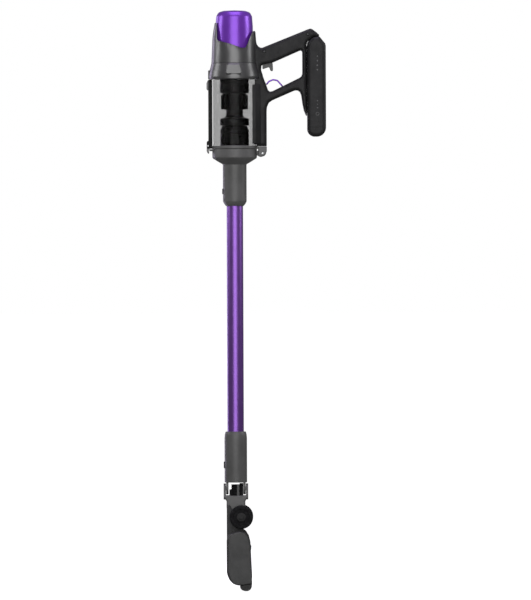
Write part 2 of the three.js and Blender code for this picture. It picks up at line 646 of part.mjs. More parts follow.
function makeHeadShells(group) {
  const solid = slab(headShape(), 2 * HEAD_HALF_WIDTH);
  const hollow = cut(solid, headInterior(), neckNotch());
  const upper = block([-60, -200, -200], [HEAD_SPLIT, 200, 60]);
  const lower = block([HEAD_SPLIT + GAP, -200, -200], [60, 200, 60]);
  const armShape = shapeOf([
    [-29.2, -46], [-29.2, 18], [-27, 24], [-22.6, 24], [-19, 14], [-8, 10.4], [4, 11], [11, 5], [12.4, -3],
    [9, -12], [3.6, -26], [3.6, -46],
  ]);
  const arms = [-1, 1].map((side) => slab(armShape, 8, { yCentre: side * 25.4 }));
  const axleHole = rod("y", AXLE_R + GAP, 80, [0, 0, 0], 20);
  addPiece(group, "head_cover", "gunmetal", cut(join(hollow.intersect(upper), ...arms), axleHole));
  const mouth = block([HEAD_SPLIT, -BRUSH_SPAN + 4, -126], [40, BRUSH_SPAN - 4, -96]);
  const rollerPockets = [-1, 1].map((side) => block([9, side * 70 - 8, -70], [30, side * 70 + 8, -54]));
  const armRoom = [-1, 1].map((side) => block([0, side * 25.4 - 4.6, -46.5], [16, side * 25.4 + 4.6, 20]));
  const base = cut(hollow.intersect(lower), mouth, ...rollerPockets, ...armRoom);
  addPiece(group, "head_base", "charcoal", base);
}

function makeEndCaps(group) {
  for (const [side, label] of [[-1, "left"], [1, "right"]]) {
    const yCentre = side * (HEAD_HALF_WIDTH + GAP + END_CAP / 2);
    const cap = slab(headShape(3.4), END_CAP, { yCentre, bevel: 1.2 });
    const journal = rod("y", 4.6, 9, [BRUSH.x, side * HEAD_HALF_WIDTH, BRUSH.z], 20);
    addPiece(group, `end_cap_${label}`, "gunmetal", cut(cap, journal));
  }
}

function makeBumper(group) {
  const outline = shapeOf([
    [-3, -134.2], [17, -131.4], [20.4, -130], [20.8, -136], [18, -141.4], [13, -144.2], [7, -144.4],
    [1, -142.4], [-2.4, -138.6],
  ]);
  addPiece(group, "head_bumper", "rubber", slab(outline, 2 * HEAD_HALF_WIDTH + 12, { bevel: 1 }));
}

// A star-shaped section turned round the brush core: rows of soft fibre.
function fibreShape(rows) {
  const points = [];
  for (let i = 0; i < rows * 2; i += 1) {
    const angle = (i / (rows * 2)) * Math.PI * 2;
    const radius = i % 2 ? BRUSH.r - 2.6 : BRUSH.r;
    points.push([radius * Math.cos(angle), radius * Math.sin(angle)]);
  }
  const shape = shapeOf(points);
  shape.holes.push(new THREE.Path().absarc(0, 0, 13.2, 0, Math.PI * 2, true));
  return shape;
}

function makeBrush(group) {
  const barrel = rod("y", 12.8, 2 * BRUSH_SPAN - 6, [0, 0, 0]);
  const journals = rod("y", 4.2, 2 * HEAD_HALF_WIDTH + 6, [0, 0, 0], 16);
  const pulleyGroove = cut(rod("y", 14, 8, [0, -104, 0]), rod("y", 9, 9, [0, -104, 0]));
  addPiece(group, "brush_core", "charcoal", join(cut(barrel, pulleyGroove), journals));
  addPiece(group, "brush_fibre", "bristle", slab(fibreShape(14), 200, { yCentre: 3 }));
}

// The belt runs round the motor's pulley and the groove in the brush core.
function beltShape(inset) {
  const [dx, dz] = [BRUSH.x - BRUSH_MOTOR.x, BRUSH.z - BRUSH_MOTOR.z];
  const span = Math.hypot(dx, dz);
  const heading = Math.atan2(dz, dx);
  const small = 5.6 + inset;
  const large = 9.5 + inset;
  const lean = Math.acos((small - large) / span);
  const arc = (x, z, radius, from, to) => {
    const points = [];
    for (let i = 0; i <= 8; i += 1) {
      const angle = from + ((to - from) * i) / 8;
      points.push([x + radius * Math.cos(angle), z + radius * Math.sin(angle)]);
    }
    return points;
  };
  return [
    ...arc(BRUSH_MOTOR.x, BRUSH_MOTOR.z, small, heading + lean, heading + 2 * Math.PI - lean),
    ...arc(BRUSH.x, BRUSH.z, large, heading - lean, heading + lean),
  ];
}

function makeDrive(group) {
  addPiece(group, "brush_motor", "steel", rod("y", BRUSH_MOTOR.r, 62, [BRUSH_MOTOR.x, -60, BRUSH_MOTOR.z]));
  const belt = shapeOf(beltShape(1.5));
  belt.holes.push(new THREE.Path(beltShape(0).map(([x, z]) => new THREE.Vector2(x, z))));
  addPiece(group, "drive_belt", "rubber", slab(belt, 5, { yCentre: -104 }));
}

function makeMotorPulley(group) {
  const wheel = rod("y", 5.2, 7, [0, -104, 0], 20);
  addPiece(group, "motor_pulley", "steel", join(wheel, rod("y", 2, 15, [0, -99, 0], 12)));
}

function makeWheel(group, label, side) {
  const tread = [
    [AXLE_R + GAP, -5], [16, -5], [17, -6], [22, -6], [WHEEL_R, -4.4], [WHEEL_R, 4.4], [22, 6], [17, 6],
    [16, 5], [AXLE_R + GAP, 5],
  ];
  const points = [...tread, tread[0]].map(([r, y]) => new THREE.Vector2(r, y));
  const wheel = solidOf(new THREE.LatheGeometry(points, 28));
  addPiece(group, `rear_wheel_${label}`, "rubber", wheel).position.y = side * 37;
}

function makeSoleRoller(group, label, side) {
  const roller = rod("y", 4.4, 12, [0, 0, 0], 20);
  const stub = rod("y", 1.6, 15, [0, 0, 0], 12);
  addPiece(group, `sole_roller_${label}`, "rubber", join(roller, stub)).position.set(15.2, side * 70, -62);
}

// ---- assembly ----
makeFilterCap(vacuum);
makeMotorHousing(vacuum);
makeCupCollar(vacuum);
makeMotor(vacuum);
makeRotor(vacuum);
makeHandle(vacuum);
makeHandleFittings(vacuum);
makeTrigger(vacuum);
makeModeButton(vacuum);
makeBattery(vacuum);
makeBatteryButton(vacuum);
makeDustCup(vacuum);
makeCupBase(vacuum);
makeCupRail(vacuum);
makeCupRelease(vacuum);
makeCoverLatch(vacuum);
makeBottomCover(vacuum);
makeInletFlap(vacuum);
makeWandButton(vacuum);
makeWand(vacuum);
makeHeadCollar(vacuum);
makeHeadButton(vacuum);
makeKnuckle(vacuum);

const floorHead = groupAt(vacuum, AXLE_X, 0, AXLE_Z);
makeHeadShells(floorHead);
makeEndCaps(floorHead);
makeBumper(floorHead);
makeBrush(groupAt(floorHead, BRUSH.x, 0, BRUSH.z));
makeDrive(floorHead);
makeMotorPulley(groupAt(floorHead, BRUSH_MOTOR.x, 0, BRUSH_MOTOR.z));
addPiece(floorHead, "wheel_axle", "steel", rod("y", AXLE_R, 88, [0, 0, 0], 20));
for (const [side, label] of [[-1, "left"], [1, "right"]]) {
  makeWheel(floorHead, label, side);
  makeSoleRoller(floorHead, label, side);
}

export default vacuum;
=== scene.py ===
"""Looks of the cordless stick vacuum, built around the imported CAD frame.

Sizes in the code are millimetres. The wand lies along Z and the handle is towards +X.
"""

import json
import math
import random

import bmesh
import bpy
import numpy as np
from mathutils import Matrix, Vector
from mathutils.geometry import delaunay_2d_cdt

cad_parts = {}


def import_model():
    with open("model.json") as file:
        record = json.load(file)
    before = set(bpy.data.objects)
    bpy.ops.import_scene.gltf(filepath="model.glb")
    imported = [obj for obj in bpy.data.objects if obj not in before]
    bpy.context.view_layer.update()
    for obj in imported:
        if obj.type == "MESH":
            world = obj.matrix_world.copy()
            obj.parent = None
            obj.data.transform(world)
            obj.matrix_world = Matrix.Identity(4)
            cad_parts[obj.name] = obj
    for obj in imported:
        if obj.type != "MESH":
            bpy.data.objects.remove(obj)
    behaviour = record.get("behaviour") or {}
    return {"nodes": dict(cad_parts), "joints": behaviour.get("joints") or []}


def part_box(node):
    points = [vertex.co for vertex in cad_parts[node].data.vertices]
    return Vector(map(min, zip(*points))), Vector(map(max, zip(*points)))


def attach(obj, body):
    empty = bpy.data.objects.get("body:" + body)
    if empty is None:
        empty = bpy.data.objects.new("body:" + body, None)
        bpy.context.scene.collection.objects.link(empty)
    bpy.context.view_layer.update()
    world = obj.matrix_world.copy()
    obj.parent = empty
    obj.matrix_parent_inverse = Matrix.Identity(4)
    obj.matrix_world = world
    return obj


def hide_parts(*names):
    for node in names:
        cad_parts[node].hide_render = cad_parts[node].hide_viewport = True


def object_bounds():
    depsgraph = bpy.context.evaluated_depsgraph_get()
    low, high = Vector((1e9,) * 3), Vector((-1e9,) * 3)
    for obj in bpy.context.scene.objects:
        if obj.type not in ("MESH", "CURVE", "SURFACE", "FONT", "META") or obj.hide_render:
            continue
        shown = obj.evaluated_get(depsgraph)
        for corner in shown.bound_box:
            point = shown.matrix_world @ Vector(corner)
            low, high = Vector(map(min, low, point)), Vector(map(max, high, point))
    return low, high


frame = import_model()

CAD_BOX = [list(corner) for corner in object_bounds()]
MM = 0.001
SCENE = bpy.context.scene
SIDES = ((-1, "left"), (1, "right"))
random.seed(7)


# ---- places read from the frame, in millimetres ----
def box_mm(node):
    """The lowest and highest corners of a CAD node, in millimetres."""
    low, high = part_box(node)
    return low / MM, high / MM


def joint_place(name):
    """The pivot of a joint of the frame, in millimetres."""
    joint = next(j for j in frame["joints"] if j["name"] == name)
    return Vector(joint["pos_m"]) / MM


# ---- outlines ----
def filleted(points, radius=0.0, steps=6, closed=True):
    """An outline whose corners are rounded. A point is (x, z) or (x, z, its own radius)."""
    count = len(points)
    result = []
    for i, point in enumerate(points):
        here = Vector(point[:2])
        own = point[2] if len(point) > 2 else radius
        if own <= 0 or (not closed and i in (0, count - 1)):
            result.append(tuple(here))
            continue
        before = Vector(points[i - 1][:2]) - here
        after = Vector(points[(i + 1) % count][:2]) - here
        angle = before.angle(after)
        if angle > math.pi - 0.02:
            result.append(tuple(here))
            continue
        reach = min(own / math.tan(angle / 2), 0.48 * before.length, 0.48 * after.length)
        own = reach * math.tan(angle / 2)
        start = here + before.normalized() * reach
        end = here + after.normalized() * reach
        middle = here + (before.normalized() + after.normalized()).normalized() * own / math.sin(angle / 2)
        from_angle = math.atan2(start.y - middle.y, start.x - middle.x)
        turn = math.atan2(end.y - middle.y, end.x - middle.x) - from_angle
        turn = (turn + math.pi) % math.tau - math.pi
        for k in range(steps + 1):
            a = from_angle + turn * k / steps
            result.append((middle.x + own * math.cos(a), middle.y + own * math.sin(a)))
    return result


# ---- meshes ----
def new_object(name, mesh):
    piece = bpy.data.objects.new(name, mesh)
    SCENE.collection.objects.link(piece)
    return piece


def mesh_object(name, verts, faces):
    """A mesh piece from vertices in millimetres, with its faces turned outwards."""
    mesh = bpy.data.meshes.new(name)
    mesh.from_pydata([Vector(v) * MM for v in verts], [], faces)
    bm = bmesh.new()
    bm.from_mesh(mesh)
    bmesh.ops.remove_doubles(bm, verts=bm.verts, dist=1e-7)
    bmesh.ops.recalc_face_normals(bm, faces=bm.faces)
    bm.to_mesh(mesh)
    bm.free()
    return new_object(name, mesh)


def smooth(piece, angle=32):
    """Smooth shading with an edge kept sharp where its faces meet at more than the angle."""
    mesh = piece.data
    mesh.shade_smooth()
    mesh.set_sharp_from_angle(angle=math.radians(angle))
    return piece


def creased(piece):
    """Smooth shading for a cut piece, whose edges stay crisp."""
    return smooth(piece, 38)


def apply_modifiers(piece):
    graph = bpy.context.evaluated_depsgraph_get()
    graph.update()
    made = bpy.data.meshes.new_from_object(piece.evaluated_get(graph))
    piece.modifiers.clear()
    old = piece.data
    piece.data = made
    bpy.data.meshes.remove(old)
    return piece


AXES = {
    "z": Matrix.Identity(3),
    "x": Matrix(((0, 0, 1), (1, 0, 0), (0, 1, 0))),
    "y": Matrix(((0, 1, 0), (0, 0, 1), (1, 0, 0))),
}


def lathe(name, profile, axis="z", centre=(0, 0, 0), sides=96, ring=True):
    """A profile of (radius, height) turned about an axis. A ring's profile closes on itself."""
    count = len(profile)
    turn = AXES[axis]
    place = Vector(centre)
    verts = []
    for k in range(sides):
        a = math.tau * k / sides
        for r, h in profile:
            verts.append(turn @ Vector((r * math.cos(a), r * math.sin(a), h)) + place)
    faces = []
    for k in range(sides):
        here, there = k * count, (k + 1) % sides * count
        for i in range(count if ring else count - 1):
            j = (i + 1) % count
            faces.append((here + i, there + i, there + j, here + j))
    return smooth(mesh_object(name, verts, faces))


def prism(name, outline, width, y_centre=0.0):
    """An XZ outline given width along Y."""
    count = len(outline)
    verts = [(x, y_centre + side * width / 2, z) for side in (-1, 1) for x, z in outline]
    faces = [tuple(range(count)), tuple(range(2 * count - 1, count - 1, -1))]
    faces += [(i, (i + 1) % count, count + (i + 1) % count, count + i) for i in range(count)]
    return mesh_object(name, verts, faces)


def box(name, low, high):
    """A box between two corners, in millimetres."""
    outline = [(low[0], low[2]), (high[0], low[2]), (high[0], high[2]), (low[0], high[2])]
    return prism(name, outline, high[1] - low[1], (low[1] + high[1]) / 2)


def spaced(outline, step):
    """A closed outline with more points wherever two are further apart than the step."""
    result = []
    for i, here in enumerate(outline):
        a, b = Vector(here), Vector(outline[(i + 1) % len(outline)])
        count = max(1, math.ceil((b - a).length / step))
        result += [a.lerp(b, k / count) for k in range(count)]
    return result


def signed_area(outline):
    return sum(a.cross(b) for a, b in zip(outline, outline[1:] + outline[:1])) / 2


def inward_points(loops, edge, rows):
    """Rows of points inside the outlines, closer together near the rim."""
    points = []
    for k, loop in enumerate(loops):
        turn = 1 if (signed_area(loop) > 0) == (k == 0) else -1
        for i, here in enumerate(loop):
            along = loop[(i + 1) % len(loop)] - loop[i - 1]
            inward = Vector((-along.y, along.x)).normalized() * turn
            for row in range(1, rows + 1):
                reach = edge * (1 - math.cos(math.pi / 2 * row / rows))
                points.append((here + inward * reach, reach))
    return points


def gaps_to(points, loops):
    """The distance from each point to the nearest outline."""
    starts = np.array([p for loop in loops for p in loop])
    ends = np.array([p for loop in loops for p in loop[1:] + loop[:1]])
    spans = ends - starts
    lengths = (spans ** 2).sum(1)
    gaps = []
    for point in points:
        offset = np.array(point) - starts
        share = np.clip((offset * spans).sum(1) / lengths, 0, 1)
        gaps.append(math.sqrt(((offset - spans * share[:, None]) ** 2).sum(1).min()))
    return gaps


def pillow(name, outlines, width, edge, y_centre=0.0, rows=6):
    """An XZ outline with holes, given width along Y, whose two rims are rounded to the edge radius.

    Each point's height follows from its distance to the outline, so tight corners stay clean.
    """
    loops = [spaced(outline, 4.0) for outline in outlines]
    rim = [p for loop in loops for p in loop]
    inner = inward_points(loops, edge, rows)
    gaps = gaps_to([p for p, _ in inner], loops)
    kept = [(p, gap) for (p, reach), gap in zip(inner, gaps) if gap > 0.93 * reach]
    rings, first = [], 0
    for loop in loops:
        rings.append(list(range(first, first + len(loop))))
        first += len(loop)
    flat, _, triangles, sources, _, _ = delaunay_2d_cdt(rim + [p for p, _ in kept], [], rings, 2, 0.02)
    depth = width / 2 - edge
    heights = []
    for source in sources:
        if min(source) < len(rim):
            heights.append(depth)
        else:
            short = 1 - min(1.0, kept[min(source) - len(rim)][1] / edge)
            heights.append(depth + edge * math.sqrt(1 - short * short))
    count = len(flat)
    verts = [(p.x, y_centre + side * h, p.y) for side in (-1, 1) for p, h in zip(flat, heights)]
    faces = [tuple(t) for t in triangles] + [tuple(count + i for i in reversed(t)) for t in triangles]
    place = {i: k for k, source in enumerate(sources) for i in source}
    for ring in rings:
        for a, b in zip(ring, ring[1:] + ring[:1]):
            a, b = place[a], place[b]
            faces.append((a, b, count + b, count + a))
    return smooth(mesh_object(name, verts, faces), 40)


def boolean(piece, *cutters, operation="DIFFERENCE"):
    """Cuts a piece by others, or joins or meets it with them, and removes those."""
    for cutter in cutters:
        modifier = piece.modifiers.new("cut", "BOOLEAN")
        modifier.operation = operation
        modifier.solver = "EXACT"
        modifier.object = cutter
        apply_modifiers(piece)
        bpy.data.objects.remove(cutter)
    return smooth(piece)


def bevelled(piece, width, segments=3, angle=35):
    """Gives a piece a bevel modifier where its faces meet sharply."""
    bevel = piece.modifiers.new("edges", "BEVEL")
    bevel.width = width * MM
    bevel.segments = segments
    bevel.limit_method = "ANGLE"
    bevel.angle_limit = math.radians(angle)
    bevel.harden_normals = True
    return piece


def turned(piece, angle):
    """Turns a piece about the wand's axis."""
    piece.data.transform(Matrix.Rotation(angle, 4, "Z"))
    return piece


def rounded(piece, *settings):
    """A piece with small rounded edges."""
    return apply_modifiers(bevelled(piece, *settings))


def finished(piece, body, material, *nodes):
    """Gives a piece its material in a slot of its own and its body, and hides the CAD nodes that it stands
    for.
    """
    piece.data.materials.clear()
    piece.data.materials.append(material)
    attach(piece, body)
    if nodes:
        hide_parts(*nodes)
    return piece


# ---- materials ----
class Nodes:
    """A short way to write a material's node tree."""

    def __init__(self, name):
        self.material = bpy.data.materials.new(name)
        self.material.use_nodes = True
        self.tree = self.material.node_tree
        self.shader = self.tree.nodes["Principled BSDF"]
        self.place = self.tree.nodes.new("ShaderNodeTexCoord").outputs["Object"]

    def node(self, kind, **settings):
        made = self.tree.nodes.new("ShaderNode" + kind)
        for key, value in settings.items():
            setattr(made, key, value)
        return made

    def link(self, source, target):
        self.tree.links.new(source, target)

    def set(self, **sockets):
        """Sets shader sockets by name; an underscore stands for a space."""
        for name, value in sockets.items():
            self.shader.inputs[name.replace("_", " ")].default_value = value
        return self

    def stretched(self, scale):
        mapping = self.node("Mapping")
        mapping.inputs["Scale"].default_value = scale
        self.link(self.place, mapping.inputs["Vector"])
        return mapping.outputs["Vector"]

    def noise(self, scale, detail=3.0, roughness=0.55, stretch=None):
        texture = self.node("TexNoise")
        texture.inputs["Scale"].default_value = scale
        texture.inputs["Detail"].default_value = detail
        texture.inputs["Roughness"].default_value = roughness
        self.link(self.stretched(stretch) if stretch else self.place, texture.inputs["Vector"])
        return texture.outputs["Fac"]

    def ranged(self, value, low, high, start=0.0, end=1.0):
        """Maps a value between start and end to low to high."""
        node = self.node("MapRange")
        for name, number in zip(("From Min", "From Max", "To Min", "To Max"), (start, end, low, high)):
            node.inputs[name].default_value = number
        self.link(value, node.inputs["Value"])
        return node.outputs["Result"]

    def mixed(self, factor, first, second):
        """A colour between two, which are colours or sockets."""
        node = self.node("Mix", data_type="RGBA")
        self.link(factor, node.inputs["Factor"])
        for socket, colour in ((node.inputs[6], first), (node.inputs[7], second)):
            if isinstance(colour, tuple):
                socket.default_value = (*colour, 1.0)
            else:
                self.link(colour, socket)
        return node.outputs[2]

    def worn_edges(self, radius=0.0012, reach=0.5):
        """Near 1 on convex edges, broken up by noise, and 0 elsewhere."""
        bevel = self.node("Bevel", samples=4)
        bevel.inputs["Radius"].default_value = radius
        geometry = self.node("NewGeometry")
        dot = self.node("VectorMath", operation="DOT_PRODUCT")
        self.link(bevel.outputs["Normal"], dot.inputs[0])
        self.link(geometry.outputs["Normal"], dot.inputs[1])
        edge = self.ranged(dot.outputs["Value"], 1.0, 0.0, 0.86, 0.995)
        broken = self.ranged(self.noise(140, 4), 0.0, reach, 0.42, 0.62)
        product = self.node("Math", operation="MULTIPLY")
        self.link(edge, product.inputs[0])
        self.link(broken, product.inputs[1])
        return product.outputs["Value"]

    def bumped(self, height, strength, distance):
        bump = self.node("Bump")
        bump.inputs["Strength"].default_value = strength
        bump.inputs["Distance"].default_value = distance
        self.link(height, bump.inputs["Height"])
        self.link(bump.outputs["Normal"], self.shader.inputs["Normal"])

    def coloured(self, socket):
        self.link(socket, self.shader.inputs["Base Color"])

    def rough(self, socket):
        self.link(socket, self.shader.inputs["Roughness"])


def metallic_paint(name, dark, light, roughness, metallic, coat=0.6, wear=0.35):
    """Clear-coated paint with a very fine metal flake and a slow drift of tone."""
    n = Nodes(name)
    flake = n.ranged(n.noise(5200.0, 1.0), 0.2, 0.8)
    drift = n.ranged(n.noise(9.0, 3.0), 0.0, 0.22, 0.35, 0.75)
    tone = n.mixed(drift, n.mixed(flake, dark, light), dark)
    n.coloured(n.mixed(n.worn_edges(0.0008, wear), tone, tuple(min(1.0, c * 1.5 + 0.02) for c in light)))
    n.rough(n.ranged(n.noise(60.0, 4.0), roughness - 0.03, roughness + 0.04, 0.3, 0.7))
    return n.set(Metallic=metallic, Coat_Weight=coat, Coat_Roughness=0.12).material


def moulded_plastic(name, dark, light, roughness, grain=1500.0, depth=0.12, gloss=0.2):
    """Injection-moulded plastic: fine spark-eroded grain, small changes of gloss, paler handled edges."""
    n = Nodes(name)
    mottle = n.ranged(n.noise(35.0, 4.0), 0.0, 1.0, 0.3, 0.7)
    pale = tuple(min(1.0, c * 1.7 + 0.01) for c in light)
    n.coloured(n.mixed(n.worn_edges(), n.mixed(mottle, dark, light), pale))
    n.rough(n.ranged(n.noise(90.0, 5.0), roughness - 0.06, roughness + 0.08, 0.3, 0.7))
    n.bumped(n.noise(grain, 3.0, 0.6), depth, 0.0004)
    return n.set(Specular_IOR_Level=gloss).material


def dark_rubber(name, colour, roughness=0.78):
    """Matt rubber with dust in its grain."""
    n = Nodes(name)
    dusty = tuple(c * 1.6 + 0.02 for c in colour)
    n.coloured(n.mixed(n.ranged(n.noise(220.0, 5.0), 0.0, 0.6, 0.45, 0.8), colour, dusty))
    n.rough(n.ranged(n.noise(60.0, 4.0), roughness - 0.08, roughness + 0.1, 0.3, 0.7))
    n.bumped(n.noise(1100.0, 4.0), 0.3, 0.0005)
    return n.set(Specular_IOR_Level=0.15).material


def turned_steel(name, colour=(0.62, 0.63, 0.64)):
    """Steel with fine circular machining lines."""
    n = Nodes(name)
    lines = n.noise(900.0, 3.0, 0.6, stretch=(0.06, 1.0, 0.06))
    n.coloured(n.mixed(lines, tuple(c * 0.72 for c in colour), colour))
    n.rough(n.ranged(lines, 0.22, 0.42, 0.3, 0.7))
    n.bumped(lines, 0.15, 0.0002)
    return n.set(Metallic=1.0).material


def smoked_clear(name):
    """Clear grey plastic that is seen through, with faint dust and moulding waves."""
    n = Nodes(name)
    n.coloured(n.mixed(n.ranged(n.noise(70.0, 4.0), 0.0, 1.0, 0.35, 0.7), (0.56, 0.56, 0.56),
                       (0.60, 0.60, 0.60)))
    n.rough(n.ranged(n.noise(40.0, 5.0), 0.0, 0.02, 0.35, 0.75))
    return n.set(Transmission_Weight=1.0, IOR=1.02, Coat_Weight=0.08, Coat_Roughness=0.05).material


def pleated_paper(name):
    n = Nodes(name)
    fibres = n.noise(700.0, 5.0, 0.7)
    n.coloured(n.mixed(fibres, (0.62, 0.60, 0.55), (0.86, 0.85, 0.80)))
    n.rough(n.ranged(fibres, 0.8, 0.95))
    n.bumped(fibres, 0.4, 0.0006)
    return n.set(Specular_IOR_Level=0.2).material


def circuit_board(name):
    """Green solder mask with paler tracks under it."""
    n = Nodes(name)
    tracks = n.node("TexBrick")
    tracks.inputs["Scale"].default_value = 160.0
    n.link(n.place, tracks.inputs["Vector"])
    line = n.ranged(tracks.outputs["Fac"], 0.0, 0.5)
    n.coloured(n.mixed(line, (0.015, 0.11, 0.05), (0.05, 0.24, 0.11)))
    n.rough(n.ranged(n.noise(80.0), 0.25, 0.45))
    n.bumped(line, 0.3, 0.0003)
    return n.material


def shrink_wrap(name):
    """Blue film shrunk round a cell."""
    n = Nodes(name)
    creases = n.noise(90.0, 4.0, stretch=(1.0, 1.0, 0.15))
    n.coloured(n.mixed(creases, (0.02, 0.13, 0.34), (0.04, 0.24, 0.52)))
    n.rough(n.ranged(creases, 0.22, 0.42))
    n.bumped(creases, 0.25, 0.0006)
    return n.set(Coat_Weight=0.4).material


def brush_fibre(name):
    n = Nodes(name)
    strand = n.noise(1400.0, 3.0)
    band = n.ranged(n.noise(30.0, 2.0), 0.0, 1.0, 0.4, 0.6)
    soft = n.mixed(strand, (0.05, 0.02, 0.11), (0.22, 0.12, 0.42))
    n.coloured(n.mixed(band, soft, (0.03, 0.03, 0.035)))
    n.rough(n.ranged(strand, 0.75, 0.95))
    n.bumped(strand, 0.5, 0.0006)
    return n.set(Sheen_Weight=0.35, Sheen_Roughness=0.5).material


PURPLE = metallic_paint("purple_paint", (0.165, 0.034, 0.47), (0.235, 0.060, 0.60), 0.32, 0.5, coat=0.25)
TUBE_PURPLE = metallic_paint("anodised_purple", (0.20, 0.085, 0.38), (0.25, 0.11, 0.46), 0.38, 0.9, coat=0.1,
                             wear=0.0)
GUNMETAL = metallic_paint("gunmetal_paint", (0.100, 0.100, 0.101), (0.138, 0.138, 0.139), 0.34, 0.75,
                          coat=0.1)
NECK_GREY = moulded_plastic("neck_grey", (0.086, 0.086, 0.085), (0.112, 0.112, 0.111), 0.42, depth=0.05,
                            gloss=0.4)
HEAD_GREY = moulded_plastic("head_grey", (0.052, 0.052, 0.052), (0.070, 0.070, 0.070), 0.5, gloss=0.25)
HEAD_DARK = moulded_plastic("head_dark", (0.022, 0.022, 0.023), (0.032, 0.032, 0.033), 0.45, gloss=0.25)
HOUSING_GREY = moulded_plastic("grey_plastic", (0.10, 0.10, 0.10), (0.13, 0.13, 0.13), 0.45)
CHARCOAL = moulded_plastic("charcoal_plastic", (0.013, 0.013, 0.0135), (0.021, 0.021, 0.0215), 0.5)
BLACK = moulded_plastic("black_plastic", (0.002, 0.002, 0.0022), (0.005, 0.005, 0.0052), 0.3, depth=0.05,
                        gloss=0.1)
PRINT = moulded_plastic("grey_print", (0.08, 0.08, 0.08), (0.12, 0.12, 0.12), 0.5)
SMOKE = smoked_clear("smoked_clear")
RUBBER = dark_rubber("rubber", (0.008, 0.008, 0.009))
GREY_RUBBER = dark_rubber("grey_rubber", (0.045, 0.045, 0.045))
STEEL = turned_steel("steel")
DARK_STEEL = turned_steel("blackened_steel", (0.045, 0.045, 0.047))
PAPER = pleated_paper("filter_paper")
BOARD = circuit_board("circuit_board")
CELL = shrink_wrap("cell_wrap")
FIBRE = brush_fibre("brush_fibre")


# ---- small builders ----
def solid_of_revolution(name, profile, radius=0.5, **settings):
    """A turned solid whose profile starts and ends on its axis, with rounded corners."""
    return lathe(name, filleted(profile, radius, steps=4, closed=False), ring=False, **settings)


def ring_of_revolution(name, profile, radius=0.4, **settings):
    """A turned ring whose corners are rounded."""
    return lathe(name, filleted(profile, radius, steps=4), **settings)


def rod(name, axis, radius, length, centre, edge=0.4, sides=48):
    profile = [(0, -length / 2), (radius, -length / 2), (radius, length / 2), (0, length / 2)]
    return solid_of_revolution(name, profile, edge, axis=axis, centre=centre, sides=sides)


def cross_rod(name, place, radius, length, edge=0.1, sides=32):
    """A rod along Y through a place, such as a pin or the hole for one."""
    return rod(name, "y", radius, length, (place.x, 0, place.z), edge, sides)


def union(name, *parts):
    """Joins parts into the first one, which takes the name."""
    whole = boolean(parts[0], *parts[1:], operation="UNION")
    whole.name = name
    whole.data.name = name
    return whole


def rounded_cad(node, material, edge):
    """Keeps a boxy CAD node, with its flat faces tidied and its edges rounded."""
    piece = frame["nodes"][node]
    piece.data.materials.clear()
    piece.data.materials.append(material)
    weld = piece.modifiers.new("weld", "WELD")
    weld.merge_threshold = 1e-6
    flat = piece.modifiers.new("flat", "DECIMATE")
    flat.decimate_type = "DISSOLVE"
    flat.angle_limit = math.radians(1.0)
    bevelled(piece, edge)
    for face in piece.data.polygons:
        face.use_smooth = True


# ---- filter cap ----
CAP_LOW, CAP_HIGH = box_mm("filter_cap")
CAP_R = CAP_HIGH.x
CAP_FOOT = 236.0
CAP_SEAT_ROOM = [
    (-60, 220), (-60, CAP_FOOT), (-1.6, CAP_FOOT, 2), (14.2, CAP_LOW.z, 6), (22.6, CAP_LOW.z, 5),
    (25.1, CAP_FOOT, 1), (60, CAP_FOOT), (60, 220),
]


def filter_cap():
    foot, top = CAP_LOW.z, CAP_HIGH.z
    outer = [(CAP_R, foot), (CAP_R - 0.5, top - 32, 30), (CAP_R - 2.0, top - 12, 10),
             (CAP_R - 6.6, top - 4, 9)]
    outer += [(CAP_R - 16, top - 1.1, 20), (0, top)]
    inner = [(0, top - 3), (CAP_R - 18, top - 4, 12), (CAP_R - 7, top - 9.6, 6), (CAP_R - 3.2, top - 32, 20)]
    inner += [(CAP_R - 2.8, foot)]
    cap = lathe("cap_shell", filleted(outer + inner, 0.6, steps=8), sides=144)
    slots = []
    for i in range(8):
        slot = rounded(box("slot", (10, -1.5, top - 12), (24, 1.5, top + 2)), 1.4, 4)
        slots.append(turned(slot, math.tau * i / 8))
    cap = boolean(cap, prism("seat_room", filleted(CAP_SEAT_ROOM), 120), *slots)
    finished(cap, "filter_cap", PURPLE, "filter_cap")


def hepa_filter():
    low, high = box_mm("hepa_filter")
    outer, inner = high.x - 0.4, 19.4
    pleats = 56
    verts = []
    for k in range(pleats * 2):
        a = math.pi * k / pleats
        r = outer if k % 2 else inner + 3.5
        for radius, z in ((r, low.z + 3), (r, high.z - 3), (r - 1.2, high.z - 3), (r - 1.2, low.z + 3)):
            verts.append((radius * math.cos(a), radius * math.sin(a), z))
    faces = []
    for k in range(pleats * 2):
        here, there = 4 * k, 4 * ((k + 1) % (pleats * 2))
        faces += [(here + i, there + i, there + (i + 1) % 4, here + (i + 1) % 4) for i in range(4)]
    paper = mesh_object("filter_pleats", verts, faces)
    finished(paper, "filter_cap", PAPER, "hepa_filter")
    for name, z0 in (("filter_end_lower", low.z), ("filter_end_upper", high.z - 3.2)):
        profile = [(inner - 0.4, z0), (high.x, z0), (high.x, z0 + 3.2), (inner - 0.4, z0 + 3.2)]
        finished(ring_of_revolution(name, profile, 0.8), "filter_cap", RUBBER)


